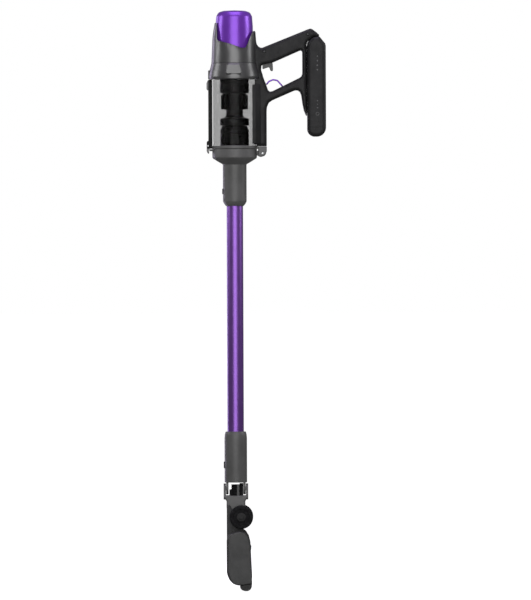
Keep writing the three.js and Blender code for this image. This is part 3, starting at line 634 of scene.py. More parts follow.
# ---- motor housing and collar ----
HOUSING_LOW, HOUSING_HIGH = box_mm("motor_housing")
COLLAR_LOW, COLLAR_HIGH = box_mm("cup_collar")
HOUSING_R = HOUSING_HIGH.x
COLLAR_R = COLLAR_HIGH.x
HOUSING_PROFILE = [
    (HOUSING_R, HOUSING_LOW.z), (HOUSING_R - 1, 222, 60), (HOUSING_R - 2, 246, 40),
    (HOUSING_R - 2.8, 256, 20), (HOUSING_R - 4.4, 267, 20), (HOUSING_R - 6.8, 280, 1.2),
    (HOUSING_R - 7.4, HOUSING_HIGH.z, 0.2),
]
COLLAR_PROFILE = [
    (COLLAR_R - 0.6, COLLAR_LOW.z, 0.8), (COLLAR_R, 173, 3), (50, 184, 14), (47, 195, 14),
    (46.2, COLLAR_HIGH.z, 0.5),
]
HOUSING_MOUTH = [
    (-60, 283), (-34.5, 283), (-34.5, 245, 5), (-8, 238, 40), (14, 229.6, 7), (23, 229.6, 6), (33, 253, 6),
    (37.5, 264, 5), (60, 267), (60, 320), (-60, 320),
]


def motor_housing():
    seat = CAP_FOOT - 0.4
    inner = [(HOUSING_R - 7.4, seat), (35, seat), (35, 226.5), (39.5, 222), (39.5, HOUSING_LOW.z)]
    housing = lathe("housing_shell", filleted(HOUSING_PROFILE + inner, 0.5, steps=8), sides=144)
    housing = boolean(housing, prism("mouth", filleted(HOUSING_MOUTH, 0, steps=8), 120))
    rounded(housing, 0.55, 3, 50)
    finished(smooth(housing, 40), "main_unit", GUNMETAL, "motor_housing")


def cup_collar():
    top = COLLAR_HIGH.z
    inner = [(39.2, top), (39.2, 177), (44.2, 177), (44.2, COLLAR_LOW.z)]
    collar = lathe("collar_ring", filleted(COLLAR_PROFILE + inner, 0.4, steps=6), sides=144)
    rail_head = box("rail_head", (COLLAR_LOW.x, -9, COLLAR_LOW.z), (-47, 9, 186))
    parts = [collar, rounded(rail_head, 1.5, 3)]
    for side in (-1, 1):
        pad = prism("pad", filleted([(-17, 178), (15, 178), (11, 197), (-14, 197)], 2.5), 8, side * 47)
        parts.append(rounded(pad, 1.2, 3))
    whole = union("collar_whole", *parts)
    room = [(0, 160), (44.2, 160), (44.2, 177), (39.2, 177), (39.2, 210), (0, 210)]
    whole = boolean(whole, lathe("room", room, ring=False, sides=144))
    whole.name = "collar_shell"
    finished(smooth(whole, 35), "main_unit", GUNMETAL, "cup_collar")


def motor():
    can = ring_of_revolution("motor_case", [(13, 179), (30, 179), (30.6, 182), (30.6, 220), (28, 220),
                                            (28, 182), (13, 182)], 0.5)
    finished(can, "main_unit", STEEL, "motor_can")
    mount = ring_of_revolution("motor_mount_ring", [(39, 203), (39, 211), (36.6, 211), (35.4, 209),
                                                    (33.4, 209), (32.4, 211), (31, 211), (31, 203)], 0.5)
    finished(mount, "main_unit", RUBBER, "motor_mount")
    low, high = box_mm("motor_shaft")
    shaft = rod("rotor_shaft", "z", high.x, high.z - low.z, (0, 0, (low.z + high.z) / 2), 0.5)
    finished(shaft, "rotor", STEEL, "motor_shaft")


def impeller():
    low, high = box_mm("impeller")
    base, top = low.z, high.z
    reach = 22.0
    hub = ring_of_revolution("impeller_hub", [(2.9, base), (reach, base), (reach - 1, base + 1.4, 2),
                                              (9, base + 6, 8), (5.6, top - 1), (2.9, top - 1)], 0.3)
    finished(hub, "rotor", BLACK, "impeller")
    blades = 9
    steps = 10
    verts, faces = [], []
    for k in range(blades):
        start = len(verts)
        for i in range(steps + 1):
            t = i / steps
            r = 6 + (reach - 6.5) * t
            lean = math.tau * k / blades + 0.75 * t
            crest = base + 1 + (top - base - 1.2) * (1 - 0.62 * t)
            for side in (-0.35, 0.35):
                a = lean + side / r
                verts.append((r * math.cos(a), r * math.sin(a), base + 0.8))
                verts.append((r * math.cos(a), r * math.sin(a), crest))
        for i in range(steps):
            a, b = start + 4 * i, start + 4 * (i + 1)
            faces += [(a, b, b + 1, a + 1), (a + 2, a + 3, b + 3, b + 2), (a + 1, b + 1, b + 3, a + 3),
                      (a, a + 2, b + 2, b)]
        faces += [(start, start + 1, start + 3, start + 2)]
        end = start + 4 * steps
        faces += [(end, end + 2, end + 3, end + 1)]
    vanes = mesh_object("impeller_vanes", verts, faces)
    finished(smooth(vanes, 50), "rotor", BLACK)


# ---- handle ----
SPINE_REAR = 64.4
GRIP_WIDTH = 34.0
HANDLE_OUTLINE = [
    (34, 262), (42.6, 262), (43.6, 246, 6), (45, 238, 8), (49, 232.5, 8), (54.6, 230.2, 8),
    (148.5, 267.8, 6), (153, 268.8, 4), (157, 267, 3), (169.8, 256.5, 2), (170, 253.4, 2), (159, 252.6, 6),
    (148, 244.6, 8), (144.6, 238, 6), (144.9, 94, 2), (142.6, 95.5, 4), (138.4, 106, 14), (135.8, 119, 20),
    (133.4, 136, 14), (131, 142, 5), (126, 145.6, 5), (120, 145.2, 6), (76, 126, 8), (68.6, 121, 8),
    (65, 112, 10), (SPINE_REAR, 104), (SPINE_REAR, 34.2, 1), (36, 34.2),
]
HAND_OPENING = [
    (53.6, 186, 3), (54.5, 196.5, 4), (77.6, 201.6, 6), (130, 224.6, 4), (134, 225.4, 2), (135.8, 222, 3),
    (135.8, 179, 4), (134, 173.4, 4), (130, 170.2, 4), (76, 143.8, 6), (70.5, 143, 3), (67.2, 146.4, 3),
]
SCREW_PLACES = {"handle_screw_root": (60, 223), "handle_screw_end": (147, 257.5)}


def mode_button_turn():
    """The matrix, in metres, from the mode button's own flat frame to the handle's sloping end face."""
    low, high = (Vector((157, 0, 267)), Vector((169.8, 0, 256.5)))
    middle = (low + high) / 2 * MM
    slope = math.atan2(low.z - high.z, high.x - low.x)
    return Matrix.Translation(middle) @ Matrix.Rotation(slope, 4, "Y")


def clearance_round_body():
    """The room that the motor housing, collar and cup take out of the handle."""
    profile = [(0, 20), (46, 20), (46, 37.4), (44.6, 37.4), (44.6, 167.8)]
    profile += [(51.6, 167.8), (52, 173), (50.4, 184), (47.4, 195), (46.6, 199.6), (46.2, 200), (45.2, 222)]
    profile += [(44.2, 246), (43.4, 256), (41.8, 267), (39.4, 280), (0, 280)]
    return lathe("clearance", profile, ring=False, sides=144)


def cup_saddle():
    """The wider part of the spine, which lies against the cup."""
    section = [(34, -26.4, 1), (43, -26.4, 5), (54, -15.8, 3), (54, 15.8, 3), (43, 26.4, 5), (34, 26.4, 1)]
    outline = filleted(section)
    count = len(outline)
    verts = [(x, y, z) for z in (39, 157) for x, y in outline]
    faces = [tuple(range(count - 1, -1, -1)), tuple(range(count, 2 * count))]
    faces += [(i, (i + 1) % count, count + (i + 1) % count, count + i) for i in range(count)]
    saddle = rounded(mesh_object("cup_saddle", verts, faces), 1.2, 3, 50)
    saddle = boolean(saddle, clearance_round_body(), box("spine_room", (40, -12, 20), (61.4, 12, 176)))
    finished(creased(saddle), "main_unit", CHARCOAL)


def screw_room(x, z):
    shank = rod("shank_room", "y", 1.9, 30, (x, -3, z), 0.1, 24)
    return [shank, rod("head_room", "y", 3.4, 4, (x, -16, z), 0.1, 32)]


def handle_shells():
    blank = pillow("handle_blank", [filleted(HANDLE_OUTLINE), filleted(HAND_OPENING)], GRIP_WIDTH, 7.5)
    rooms = [clearance_round_body(), box("spine_room", (52, -12, 44), (61.4, 12, 176))]
    rooms.append(prism("grip_room", [(66, 217), (70, 213.5), (140, 241.5), (140, 250), (134, 255),
                                     (66, 228)], 20))
    rooms.append(box("trigger_room", (54.9, -6.4, 180), (84, 6.4, 213.5)))
    button_room = box("button_room", (-4.5, -7.5, -5.5), (4.5, 7.5, 5.5))
    button_room.data.transform(mode_button_turn())
    rooms.append(button_room)
    for place in SCREW_PLACES.values():
        rooms += screw_room(*place)
    blank = boolean(blank, *rooms)
    for side, label in SIDES:
        shell = new_object("handle_" + label, blank.data.copy())
        low, high = (-30, -0.15) if side < 0 else (0.15, 30)
        shell = boolean(shell, box("half", (0, low, 0), (200, high, 300)), operation="INTERSECT")
        creased(shell)
        finished(shell, "main_unit", CHARCOAL, "handle_shell_" + label)
    bpy.data.objects.remove(blank)


def cross_screw(name, place, node):
    """A pan-head screw with a cross recess, its head towards -Y."""
    x, z = place
    head = solid_of_revolution(
        name, [(0, -16.6), (2.2, -16.5, 1), (3.0, -15.6, 0.6), (3.0, -14.3), (1.5, -14.3), (1.5, 10.5),
               (0, 10.5)],
        0.2, axis="y", centre=(x, 0, z), sides=40,
    )
    cross = [box("slot", (x - 1.7, -17.5, z - 0.32), (x + 1.7, -15.7, z + 0.32)),
             box("slot", (x - 0.32, -17.5, z - 1.7), (x + 0.32, -15.7, z + 1.7))]
    screw = boolean(head, *cross)
    finished(smooth(screw, 35), "main_unit", DARK_STEEL, node)


def strip_outline(points, thickness):
    """The closed outline of a strip of even thickness along a line of points."""
    sides = ([], [])
    for i, here in enumerate(points):
        before = Vector(points[max(i - 1, 0)])
        after = Vector(points[min(i + 1, len(points) - 1)])
        across = (after - before).normalized().orthogonal() * thickness / 2
        sides[0].append(tuple(Vector(here) + across))
        sides[1].append(tuple(Vector(here) - across))
    return sides[0] + sides[1][::-1]


def finger_guard():
    arch = [(64, 157.4), (69.2, 163.6, 5), (77.4, 167, 6), (86, 165.4, 6), (96, 154)]
    line = filleted(arch, closed=False, steps=8)
    hoop = pillow("finger_hoop", [strip_outline(line, 3.0)], 10.6, 1.3)
    finished(hoop, "main_unit", PURPLE, "finger_guard")


def trigger():
    outline = [
        (56.2, 199.5), (56.2, 189.2, 0.8), (58, 188.4, 1.6), (70, 192.6, 3), (71.6, 186.4, 3),
        (73.4, 184.2, 1.4), (76.6, 184.4, 1.4), (77.4, 187, 2), (76.8, 199.6, 2), (71, 205.6, 3),
        (63, 208, 3), (57.4, 207, 1),
    ]
    lever = pillow("trigger_lever", [filleted(outline, 0.8)], 11.4, 1.6)
    pin = joint_place("trigger_squeeze")
    lever = boolean(lever, cross_rod("hole", pin, 2.3, 20))
    finished(smooth(lever, 40), "trigger", HOUSING_GREY, "trigger")


def mode_button():
    """A rocker with a raised ring round a dimple."""
    cap = rounded(box("mode_cap", (-3.9, -6.9, -3.6), (3.9, 6.9, 0.4)), 0.9, 4)
    dimple = rod("dimple", "z", 2.2, 1.2, (0, 0, 0.5), 0.4, 40)
    cap = boolean(cap, dimple)
    cap.data.transform(mode_button_turn())
    finished(smooth(cap, 35), "mode_button", GUNMETAL, "mode_button")


# ---- battery ----
BATTERY_LOW, BATTERY_HIGH = box_mm("battery_case")
FOOT_LOW, FOOT_HIGH = box_mm("battery_foot")
FRONT, REAR = BATTERY_LOW.x, BATTERY_HIGH.x
BATTERY_OUTLINE = [
    (FRONT, FOOT_LOW.z, 15), (FRONT, 238.2, 5), (148.3, 244.1, 8), (159.1, BATTERY_HIGH.z - 0.8, 8),
    (170.4, BATTERY_HIGH.z, 2.5), (182, 238.6, 5), (REAR, 234, 3), (REAR, FOOT_LOW.z, 26),
]


def battery():
    width = BATTERY_HIGH.y - BATTERY_LOW.y
    seam = BATTERY_LOW.z
    pack = pillow("battery_blank", [filleted(BATTERY_OUTLINE, steps=10)], width, 8.5, rows=8)
    case = new_object("battery_shell", pack.data.copy())
    foot = new_object("battery_foot_cap", pack.data.copy())
    case = boolean(case, box("above", (130, -40, seam), (200, 40, 300)), operation="INTERSECT")
    rooms = [prism("cells_room", [(147, 60), (181.4, 60), (181.4, 232), (171, 244), (160, 244), (147, 234)],
                   35)]
    button = box_mm("battery_release_button")
    rooms.append(box("button_room", (176, button[0].y - 0.4, button[0].z - 0.4),
                     (195, button[1].y + 0.4, button[1].z + 0.4)))
    case = boolean(case, *rooms)
    foot = boolean(foot, box("below", (130, -40, 0), (200, 40, FOOT_HIGH.z)), operation="INTERSECT")
    finished(creased(case), "battery", CHARCOAL, "battery_case")
    finished(creased(foot), "battery", CHARCOAL, "battery_foot")
    side_marks(width)
    bpy.data.objects.remove(pack)


def rail_seal():
    """A soft black strip down the handle's rail, which closes the slit beside the battery."""
    seal = rounded(box("rail_seal", (144.2, -6, 100), (FRONT - 0.12, 6, 234)), 0.2, 2)
    finished(seal, "main_unit", RUBBER)


def side_marks(width):
    """Small plain dots on the pack's sides: a charge gauge and a ring beside it."""
    column = 166
    for side, label in SIDES:
        y = side * (width / 2 - 0.05)
        parts = []
        for i in range(4):
            parts.append(rod("dot", "y", 1.5, 0.5, (column, y, 213 - 9 * i), 0.2, 24))
        for i in range(3):
            parts.append(rod("dot", "y", 1.2, 0.5, (column, y, 124 - 7 * i), 0.2, 24))
        low, high = y - 0.25, y + 0.25
        profile = [(2.6, low), (3.4, low), (3.4, high), (2.6, high)]
        parts.append(lathe("ring", profile, axis="y", centre=(column, 0, 98), sides=40))
        marks = join_meshes("charge_marks_" + label, parts)
        finished(marks, "battery", PRINT)


def join_meshes(name, parts):
    """Puts separate parts into one mesh, without a boolean."""
    bm = bmesh.new()
    for part in parts:
        bm.from_mesh(part.data)
        bpy.data.objects.remove(part)
    mesh = bpy.data.meshes.new(name)
    bm.to_mesh(mesh)
    bm.free()
    return smooth(new_object(name, mesh))


def cells():
    for i in (1, 2, 3):
        node = f"cell_stack_{i}"
        low, high = box_mm(node)
        r = high.x - (low.x + high.x) / 2
        length = (high.z - low.z + 1) / 2
        profile = [(0, low.z)]
        for k in (0, 1):
            z = low.z + k * length
            profile += [(r - 1.6, z), (r, z + 1, 0.8), (r, z + length - 5.4, 0.3),
                        (r - 0.5, z + length - 4.8, 0.3), (r, z + length - 4.2, 0.3),
                        (r, z + length - 1.6, 0.8), (r - 1.8, z + length - 1)]
        profile.append((0, high.z))
        centre = ((low.x + high.x) / 2, (low.y + high.y) / 2, 0)
        wrap = solid_of_revolution(f"cells_{i}", profile, 0.2, centre=centre, sides=48)
        finished(wrap, "battery", CELL, node)


# ---- dust cup ----
CUP_LOW, CUP_HIGH = box_mm("dust_cup")
CUP_R = CUP_HIGH.x
CUP_WALL = 2.2
CYCLONE_R = 29.0
FIN_TURNS = [math.tau * (i + 0.5) / 10 for i in range(10)]


def dust_cup():
    low, high = CUP_LOW.z, CUP_HIGH.z
    bore = CUP_R - CUP_WALL
    profile = [(bore, low), (CUP_R, low), (CUP_R, high), (bore, high)]
    cup = ring_of_revolution("cup_clear", profile, 0.7, sides=160)
    finished(cup, "dust_cup", SMOKE, "dust_cup")


def cyclone_shroud():
    flange = CUP_R - CUP_WALL - 0.5
    profile = [
        (CYCLONE_R - 1.2, 140, 0.6), (CYCLONE_R, 142, 1), (CYCLONE_R, 159.4, 0.4),
        (CYCLONE_R - 0.9, 160, 0.3), (CYCLONE_R - 0.9, 161.4, 0.3), (CYCLONE_R, 162, 0.4),
        (CYCLONE_R, 168, 1.5), (flange, 169.8, 0.6), (flange, 173.8, 0.6), (19, 173.8), (19, 107.3),
        (22.4, 107.3, 0.8), (22.4, 138), (24, 140),
    ]
    shroud = lathe("shroud_ring", filleted(profile, 0.3), sides=144)
    reach = CYCLONE_R - 0.8
    fin_outline = [(20, 108.2, 1), (reach, 108.2, 1.2), (reach, 136, 2.6), (20, 140.4)]
    whole = union("cyclone_cage", shroud, *radial_fins(fin_outline))
    finished(smooth(whole, 40), "dust_cup", BLACK, "cyclone_shroud")
    perforated_band()


def radial_fins(outline):
    """Rounded upright plates all round the cyclone, each with this outline of (radius, z)."""
    fins = []
    for turn in FIN_TURNS:
        fin = rounded(prism("fin", filleted(outline), 2.9), 1.0, 3)
        fins.append(turned(fin, turn))
    return fins


def perforated_band():
    """The fine mesh sleeve behind the fins: rows of small raised studs between slots."""
    count = 60
    verts, faces = [], []
    for k in range(count):
        a = math.tau * k / count
        turn = Matrix.Rotation(a, 3, "Z")
        for z0 in (143.5, 147.5, 151.5, 155.5):
            start = len(verts)
            for x, grow in ((CYCLONE_R - 0.3, 1.0), (CYCLONE_R + 0.25, 0.7)):
                for y, z in ((-0.8, 0), (0.8, 0), (0.8, 2.8), (-0.8, 2.8)):
                    verts.append(turn @ Vector((x, y * grow, z0 + 1.4 + (z - 1.4) * grow)))
            faces += [tuple(start + i for i in (3, 2, 1, 0)), tuple(start + i for i in (4, 5, 6, 7))]
            faces += [tuple(start + j for j in (i, (i + 1) % 4, (i + 1) % 4 + 4, i + 4)) for i in range(4)]
    studs = mesh_object("shroud_studs", verts, faces)
    finished(studs, "dust_cup", BLACK)


def cyclone_core():
    profile = [
        (17, 160), (17, 96, 4), (20, 92, 4), (CYCLONE_R - 1, 89.5, 1), (CYCLONE_R, 88, 1),
        (CYCLONE_R, 75.8, 0.5), (26.9, 75.8, 0.5), (26.9, 86.4, 2), (17.6, 89.8, 3), (14.6, 95, 3),
        (14.6, 160),
    ]
    core = lathe("cyclone_waist", filleted(profile, 0.3, steps=8), sides=144)
    finished(core, "dust_cup", BLACK, "cyclone_core")


def inlet_duct():
    low, high = box_mm("inlet_duct")
    r = high.x
    wall = 22.8
    profile = [
        (wall, low.z), (25, low.z), (r, low.z + 3), (r, high.z - 16), (r - 0.7, high.z - 15.4),
        (r - 0.7, high.z - 14.4), (r, high.z - 13.8), (r, high.z - 9, 2), (25, high.z, 1), (wall, high.z, 1),
        (wall, 30), (13.5, 30), (13.5, 28), (wall, 28),
    ]
    duct = ring_of_revolution("inlet_drum", profile, 0.4, sides=128)
    vanes = [duct]
    for i in range(5):
        vane = rounded(box("vane", (r - 2, -1.1, 20), (r - 0.1, 1.1, high.z - 18)), 0.5, 2)
        vanes.append(turned(vane, math.tau * (i + 0.4) / 5))
    whole = union("inlet_drum", *vanes)
    finished(smooth(whole, 40), "bottom_cover", BLACK, "inlet_duct")


def inlet_flap():
    disc = rod("flap_disc", "z", 17.3, 1.5, (0, 0, 31.3), 0.5, 64)
    lug = rounded(box("lug", (14, -4.8, 30.6), (20.9, 4.8, 32.3)), 0.5, 2)
    whole = union("flap_disc", disc, lug)
    finished(smooth(whole, 40), "inlet_flap", RUBBER, "inlet_flap")


def cup_base():
    low, high = 29.0, 35.0
    outer = CUP_R + 1.7
    base = ring_of_revolution("base_ring", [(42.6, low), (outer, low), (outer, high), (42.6, high)], 0.7,
                              sides=144)
    hinge = [
        (43, 33.4), (SPINE_REAR, 33.4, 1), (SPINE_REAR, 25, 3), (62.5, 18.5, 3), (58.5, 14.5, 3),
        (52, 12.6, 3), (47, 14.4, 2), (46.8, 28.8, 1), (43, 28.8),
    ]
    block = pillow("hinge_block", [filleted(hinge)], 32, 2.2)
    inside = lathe("inside", [(0, 10), (42.6, 10), (42.6, 40), (0, 40)], ring=False, sides=144)
    block = boolean(block, inside)
    whole = union("cup_base", base, block)
    pin = joint_place("cover_swing")
    hole = cross_rod("hole", pin, 2.3, 40)
    whole = boolean(whole, box("knuckle_slot", (40, -7.4, 8), (62.7, 7.4, 28.8)), hole)
    finished(creased(whole), "dust_cup", NECK_GREY, "cup_base_ring")
    pin_piece = cross_rod("hinge_pin", pin, 1.9, 30, 0.5, 32)
    finished(pin_piece, "dust_cup", STEEL, "cover_hinge_pin")


def bottom_cover():
    low = box_mm("bottom_cover")[0]
    bore, neck = 17.1, 23.7
    profile = [
        (bore, low.z), (21.5, low.z + 5.5, 3), (neck, low.z + 10, 8), (neck, -3, 3), (24.6, -1.6, 2),
        (34.2, 4, 30), (43.6, 10, 3), (44.6, 12, 1), (44.6, 28.4, 0.5), (41.3, 28.4), (41.3, 14, 4),
        (30, 6.6, 20), (20, 0, 6), (14, -4), (14, -20), (bore, -20),
    ]
    shell = lathe("cover_shell", filleted(profile, 0.4, steps=8), sides=144)
    pin = joint_place("cover_swing")
    arm = box("arm", (42.6, -7, 15.5), (pin.x, 7, 25))
    knuckle = cross_rod("knuckle", pin, 6.2, 14, 0.6, 48)
    tab = box("tab", (-50.4, -6, 24.6), (-43, 6, 28.4))
    for part, edge in ((arm, 1.2), (tab, 0.7)):
        rounded(part, edge, 3)
    whole = union("cover_whole", shell, arm, knuckle, tab)
    hole = cross_rod("hole", pin, 2.3, 40)
    whole = boolean(whole, hole, box("button_room", (-30, -6.5, -62.5), (-15, 6.5, -49.5)))
    whole.name = "cover_and_neck"
    finished(creased(whole), "bottom_cover", NECK_GREY, "bottom_cover")
    seal = ring_of_revolution("seal_ring", [(38.4, 18), (40.9, 18), (40.9, 28.2), (39.8, 28.2), (39.4, 26.8),
                                            (38.4, 26.8)], 0.4, sides=96)
    finished(seal, "bottom_cover", RUBBER, "cover_seal")


def cup_rail():
    """The black rail down the cup's front, with pockets for the release button and the latch."""
    top = COLLAR_LOW.z - 0.8
    rail = box("rail", (-52.4, -9, 29.6), (-44.4, 9, top))
    foot = box("foot", (-55.6, -9, 29.6), (-50, 9, 44))
    for part in (rail, foot):
        rounded(part, 1.6, 4)
    whole = union("front_rail", rail, foot)
    latch = joint_place("latch_swing")
    rooms = [
        lathe("ring_room", [(0, 20), (46, 20), (46, 36), (0, 36)], ring=False),
        box("groove", (-60, -4, 40), (-48.2, 4, 160)),
        box("button_pocket", (-60, -7.5, 139), (-48.2, 7.5, 170)),
        box("latch_pocket", (-60, -7, 20), (-46.4, 7, 48.6)),
        box("latch_mouth", (-60, -7, 20), (-40, 7, 37)),
        cross_rod("hole", latch, 1.5, 30, 0.1, 24),
    ]
    whole = boolean(whole, *rooms)
    finished(creased(whole), "dust_cup", BLACK, "cup_rail")
    pin = cross_rod("latch_pivot", latch, 1.1, 17, 0.3, 24)
    finished(pin, "dust_cup", STEEL, "latch_pin")


def cup_release():
    face = [(-48.6, 146.5), (-54.4, 146.5, 1), (-55.7, 149, 2), (-55.7, 160, 3), (-53.4, 166, 2),
            (-48.6, 166)]
    button = pillow("release_thumb", [filleted(face, 0.4)], 13.6, 1.8)
    grooves = [box("groove", (-58, -4.5, 150.5 + 2.6 * i), (-55.1, 4.5, 151.7 + 2.6 * i)) for i in range(3)]
    button = boolean(button, *grooves)
    push_rod = rounded(box("push_rod", (-51.6, -3.4, 53.2), (-48.8, 3.4, 150)), 0.5, 2)
    whole = union("cup_release_slide", button, push_rod)
    finished(creased(whole), "cup_release", GUNMETAL, "cup_release_button")


def cover_latch():
    outline = [
        (-49.2, 45, 0.6), (-53.6, 45.4, 1.5), (-55.8, 42, 1.5), (-55.8, 24.6, 2), (-54, 20.6, 1.5),
        (-51.2, 19.4, 0.5), (-50.9, 22.8, 0.4), (-51.8, 26, 1), (-49.2, 31, 1),
    ]
    latch = pillow("latch_lever", [filleted(outline)], 12.8, 1.4)
    pin = joint_place("latch_swing")
    latch = boolean(latch, cross_rod("hole", pin, 1.5, 30, 0.1, 24))
    finished(creased(latch), "cover_latch", GUNMETAL, "cover_latch")


def press_button(name, body, node, low_x, width, grooves):
    """A small rounded push button on the wand's front side, with grooves across its face."""
    low, high = box_mm(node)
    outline = [(-19.6, low.z), (low.x + 0.9, low.z, 0.6), (low.x, low.z + 1.8, 1.4),
               (low.x, high.z - 1.8, 1.4), (low.x + 0.9, high.z, 0.6), (-19.6, high.z)]
    button = pillow(name, [filleted(outline, 0.3)], width, 1.2)
    middle = (low.z + high.z) / 2
    cuts = [box("groove", (low.x - 1, -3, middle - 0.5 + 2.2 * i), (low.x + 0.5, 3, middle + 0.5 + 2.2 * i))
            for i in range(-(grooves // 2), grooves // 2 + 1)]
    button = boolean(button, *cuts)
    plunger = box("plunger", (-20.8, -2.6, middle - 2), (low_x, 2.6, middle + 2))
    whole = union(name, button, plunger)
    finished(creased(whole), body, CHARCOAL, node)


# ---- wand ----
def wand():
    low, high = box_mm("wand_tube")
    r = high.x
    bore = r - 1.5
    profile = [
        (bore, low.z), (r, low.z), (r, low.z + 4), (r - 0.4, low.z + 4.4), (r - 0.4, low.z + 6),
        (r, low.z + 6.4), (r, high.z), (bore, high.z),
    ]
    tube = ring_of_revolution("wand_outer", profile, 0.4, sides=144)
    finished(tube, "wand", TUBE_PURPLE, "wand_tube")
    rounded_cad("wand_cable_duct", BLACK, 0.8)


def head_collar():
    high = box_mm("head_collar")[1]
    bore, step = 17.1, 13.6
    r = high.x
    foot = joint_place("neck_roll").z + 12
    shelf = box_mm("wand_tube")[0].z - 2
    profile = [
        (bore, high.z), (20.4, high.z, 1), (22, high.z - 6.7, 3), (r, high.z - 14, 10), (r, foot, 1.4),
        (step, foot), (step, shelf), (bore, shelf),
    ]
    body = ring_of_revolution("collar_body", profile, 0.4, sides=144)
    roll = joint_place("neck_roll")
    parts = [body]
    for near, far in ((-19.6, -14.8), (14.8, 19.6)):
        plate = box("plate", (near, -12, roll.z), (far, 12, foot + 1))
        eye = rod("eye", "x", 12, far - near, ((near + far) / 2, 0, roll.z), 0.8, 64)
        parts += [plate, eye]
    whole = union("collar_body", *parts)
    room = box("button_room", (-30, -5.5, -610.5), (-12, 5.5, -595.5))
    whole = boolean(whole, room, rod("pivots", "x", 4.4, 60, (0, 0, roll.z), 0.1, 48))
    whole.name = "fork_collar"
    finished(creased(whole), "head_collar", NECK_GREY, "head_collar")


def knuckle():
    axle = joint_place("head_pitch")
    roll = joint_place("neck_roll").z
    yoke_outline = [
        (-24.6, -664, 1), (-24.6, -667, 1), (-18.8, -675, 3), (-18.8, -690, 4), (-8, -706, 8), (8, -718, 8),
        (19, -712, 6), (23, -700, 6), (18.8, -684, 4), (18.8, -675, 3), (24.6, -667, 1), (24.6, -664, 1),
    ]
    yoke = pillow("yoke", [filleted(yoke_outline)], 39, 3.0)
    yoke = boolean(yoke, rod("roll_room", "x", 13, 39.4, (0, 0, roll), 0.1, 64))
    parts = [yoke, cross_rod("barrel", axle, 13, 39, 1.4, 96)]
    for side in (-1, 1):
        near, far = sorted((side * 20, side * 24.6))
        plate = box("plate", (near, -10, -672), (far, 10, roll))
        eye = rod("eye", "x", 10, far - near, ((near + far) / 2, 0, roll), 0.8, 64)
        boss = rod("boss", "x", 4, 5, (side * 18, 0, roll), 0.3, 40)
        parts += [plate, eye, boss]
    whole = union("knuckle_body", *parts)
    whole = boolean(whole, rod("duct", "z", 10.4, 60, (0, 0, -660), 0.1, 48),
                    cross_rod("axle_hole", axle, 3.4, 60))
    finished(creased(whole), "knuckle", NECK_GREY, "neck_knuckle")


def neck_hose():
    low, high = box_mm("neck_hose")
    folds = 13
    steps = 8
    outer = []
    for i in range(folds * steps + 1):
        z = low.z + (high.z - low.z) * i / (folds * steps)
        outer.append((9.1 + 0.7 * math.cos(math.tau * i / steps), z))
    hose = lathe("neck_bellows", outer + [(7.3, high.z), (7.3, low.z)], sides=96)
    finished(smooth(hose, 60), "knuckle", RUBBER, "neck_hose")
    roll = joint_place("neck_roll").z
    # Two black blocks fill the fork's gaps beside the hose: painted shade, dark where those gaps lie in
    # shadow.
    for label, low, high in (("shade_fill_right", (7.2, -5, -668), (14.6, 5, roll + 10.6)),
                             ("shade_fill_left", (-13, -5, -668), (-4, 5, roll - 2))):
        shade_fill = rounded(box(label, low, high), 0.8, 3)
        finished(shade_fill, "knuckle", RUBBER)
    guard = rounded(box("hose_guard", (2, -12, -664), (7, -10, -642)), 0.8, 3)
    bridge = box("guard_bridge", (2.5, -19, -672), (6.5, -10.4, -663.2))
    guard = union("hose_guard", guard, bridge)
    finished(creased(guard), "knuckle", HOUSING_GREY)


# ---- floor head, drawn about its wheel axle ----
AXLE = joint_place("head_pitch")
HALF_WIDTH = 115.0
SPLIT = 4.0
BRUSH_X, BRUSH_Z = 1.0, -110.0
BRUSH_ROOM = 21.8


def at_axle(piece):
    """Moves a piece drawn about the wheel axle to its place."""
    piece.data.transform(Matrix.Translation(Vector((AXLE.x, 0, AXLE.z)) * MM))
    return piece


def at_brush(piece):
    """Moves a piece drawn about the brush's own axle to its place in the floor head."""
    piece.data.transform(Matrix.Translation(Vector((BRUSH_X, 0, BRUSH_Z)) * MM))
    return at_axle(piece)


def curved(start, control, end, steps=8):
    """Points along a quadratic curve, without its start."""
    a, b, c = Vector(start), Vector(control), Vector(end)
    result = []
    for i in range(1, steps + 1):
        t = i / steps
        result.append(tuple(a * (1 - t) ** 2 + b * 2 * t * (1 - t) + c * t ** 2))
    return result


def head_outline(inset=0.0):
    """The floor head's section: its top towards -X, its sole towards +X, its front towards -Z."""
    left = -29.2 + inset
    points = [(left, -107), (left, -44)]
    points += curved((left, -44), (left + 1, -33), (-18, -30.5))
    points += [(-6, -27.4)] + curved((-6, -27.4), (4, -26.4), (9, -32))
    points += [(14.5, -41), (17.6, -54), (21, -124)]
    points += curved((21, -124), (21, -129), (17, -130.6))
    points += [(-4, -133.4)] + curved((-4, -133.4), (-24 + inset / 2, -133), (left, -107), 12)[:-1]
    return points


def axle_rod(name, radius, x, z, length, y=0.0, edge=0.1, sides=64):
    return rod(name, "y", radius, length, (x, y, z), edge, sides)


def head_rooms():
    span = HALF_WIDTH - 3
    return [
        axle_rod("brush_room", BRUSH_ROOM, BRUSH_X, BRUSH_Z, 2 * span, sides=96),
        box("rear_room", (-25, -span, -82), (14, span, -50)),
        box("belt_room", (-16, -span, -112), (13, -98, -56)),
        axle_rod("journals", 4.8, BRUSH_X, BRUSH_Z, 2 * HALF_WIDTH + 4),
        box("neck_room", (-40, -21, -46), (40, 21, 30)),
        axle_rod("neck_round", 14, 0, 0, 42),
    ]


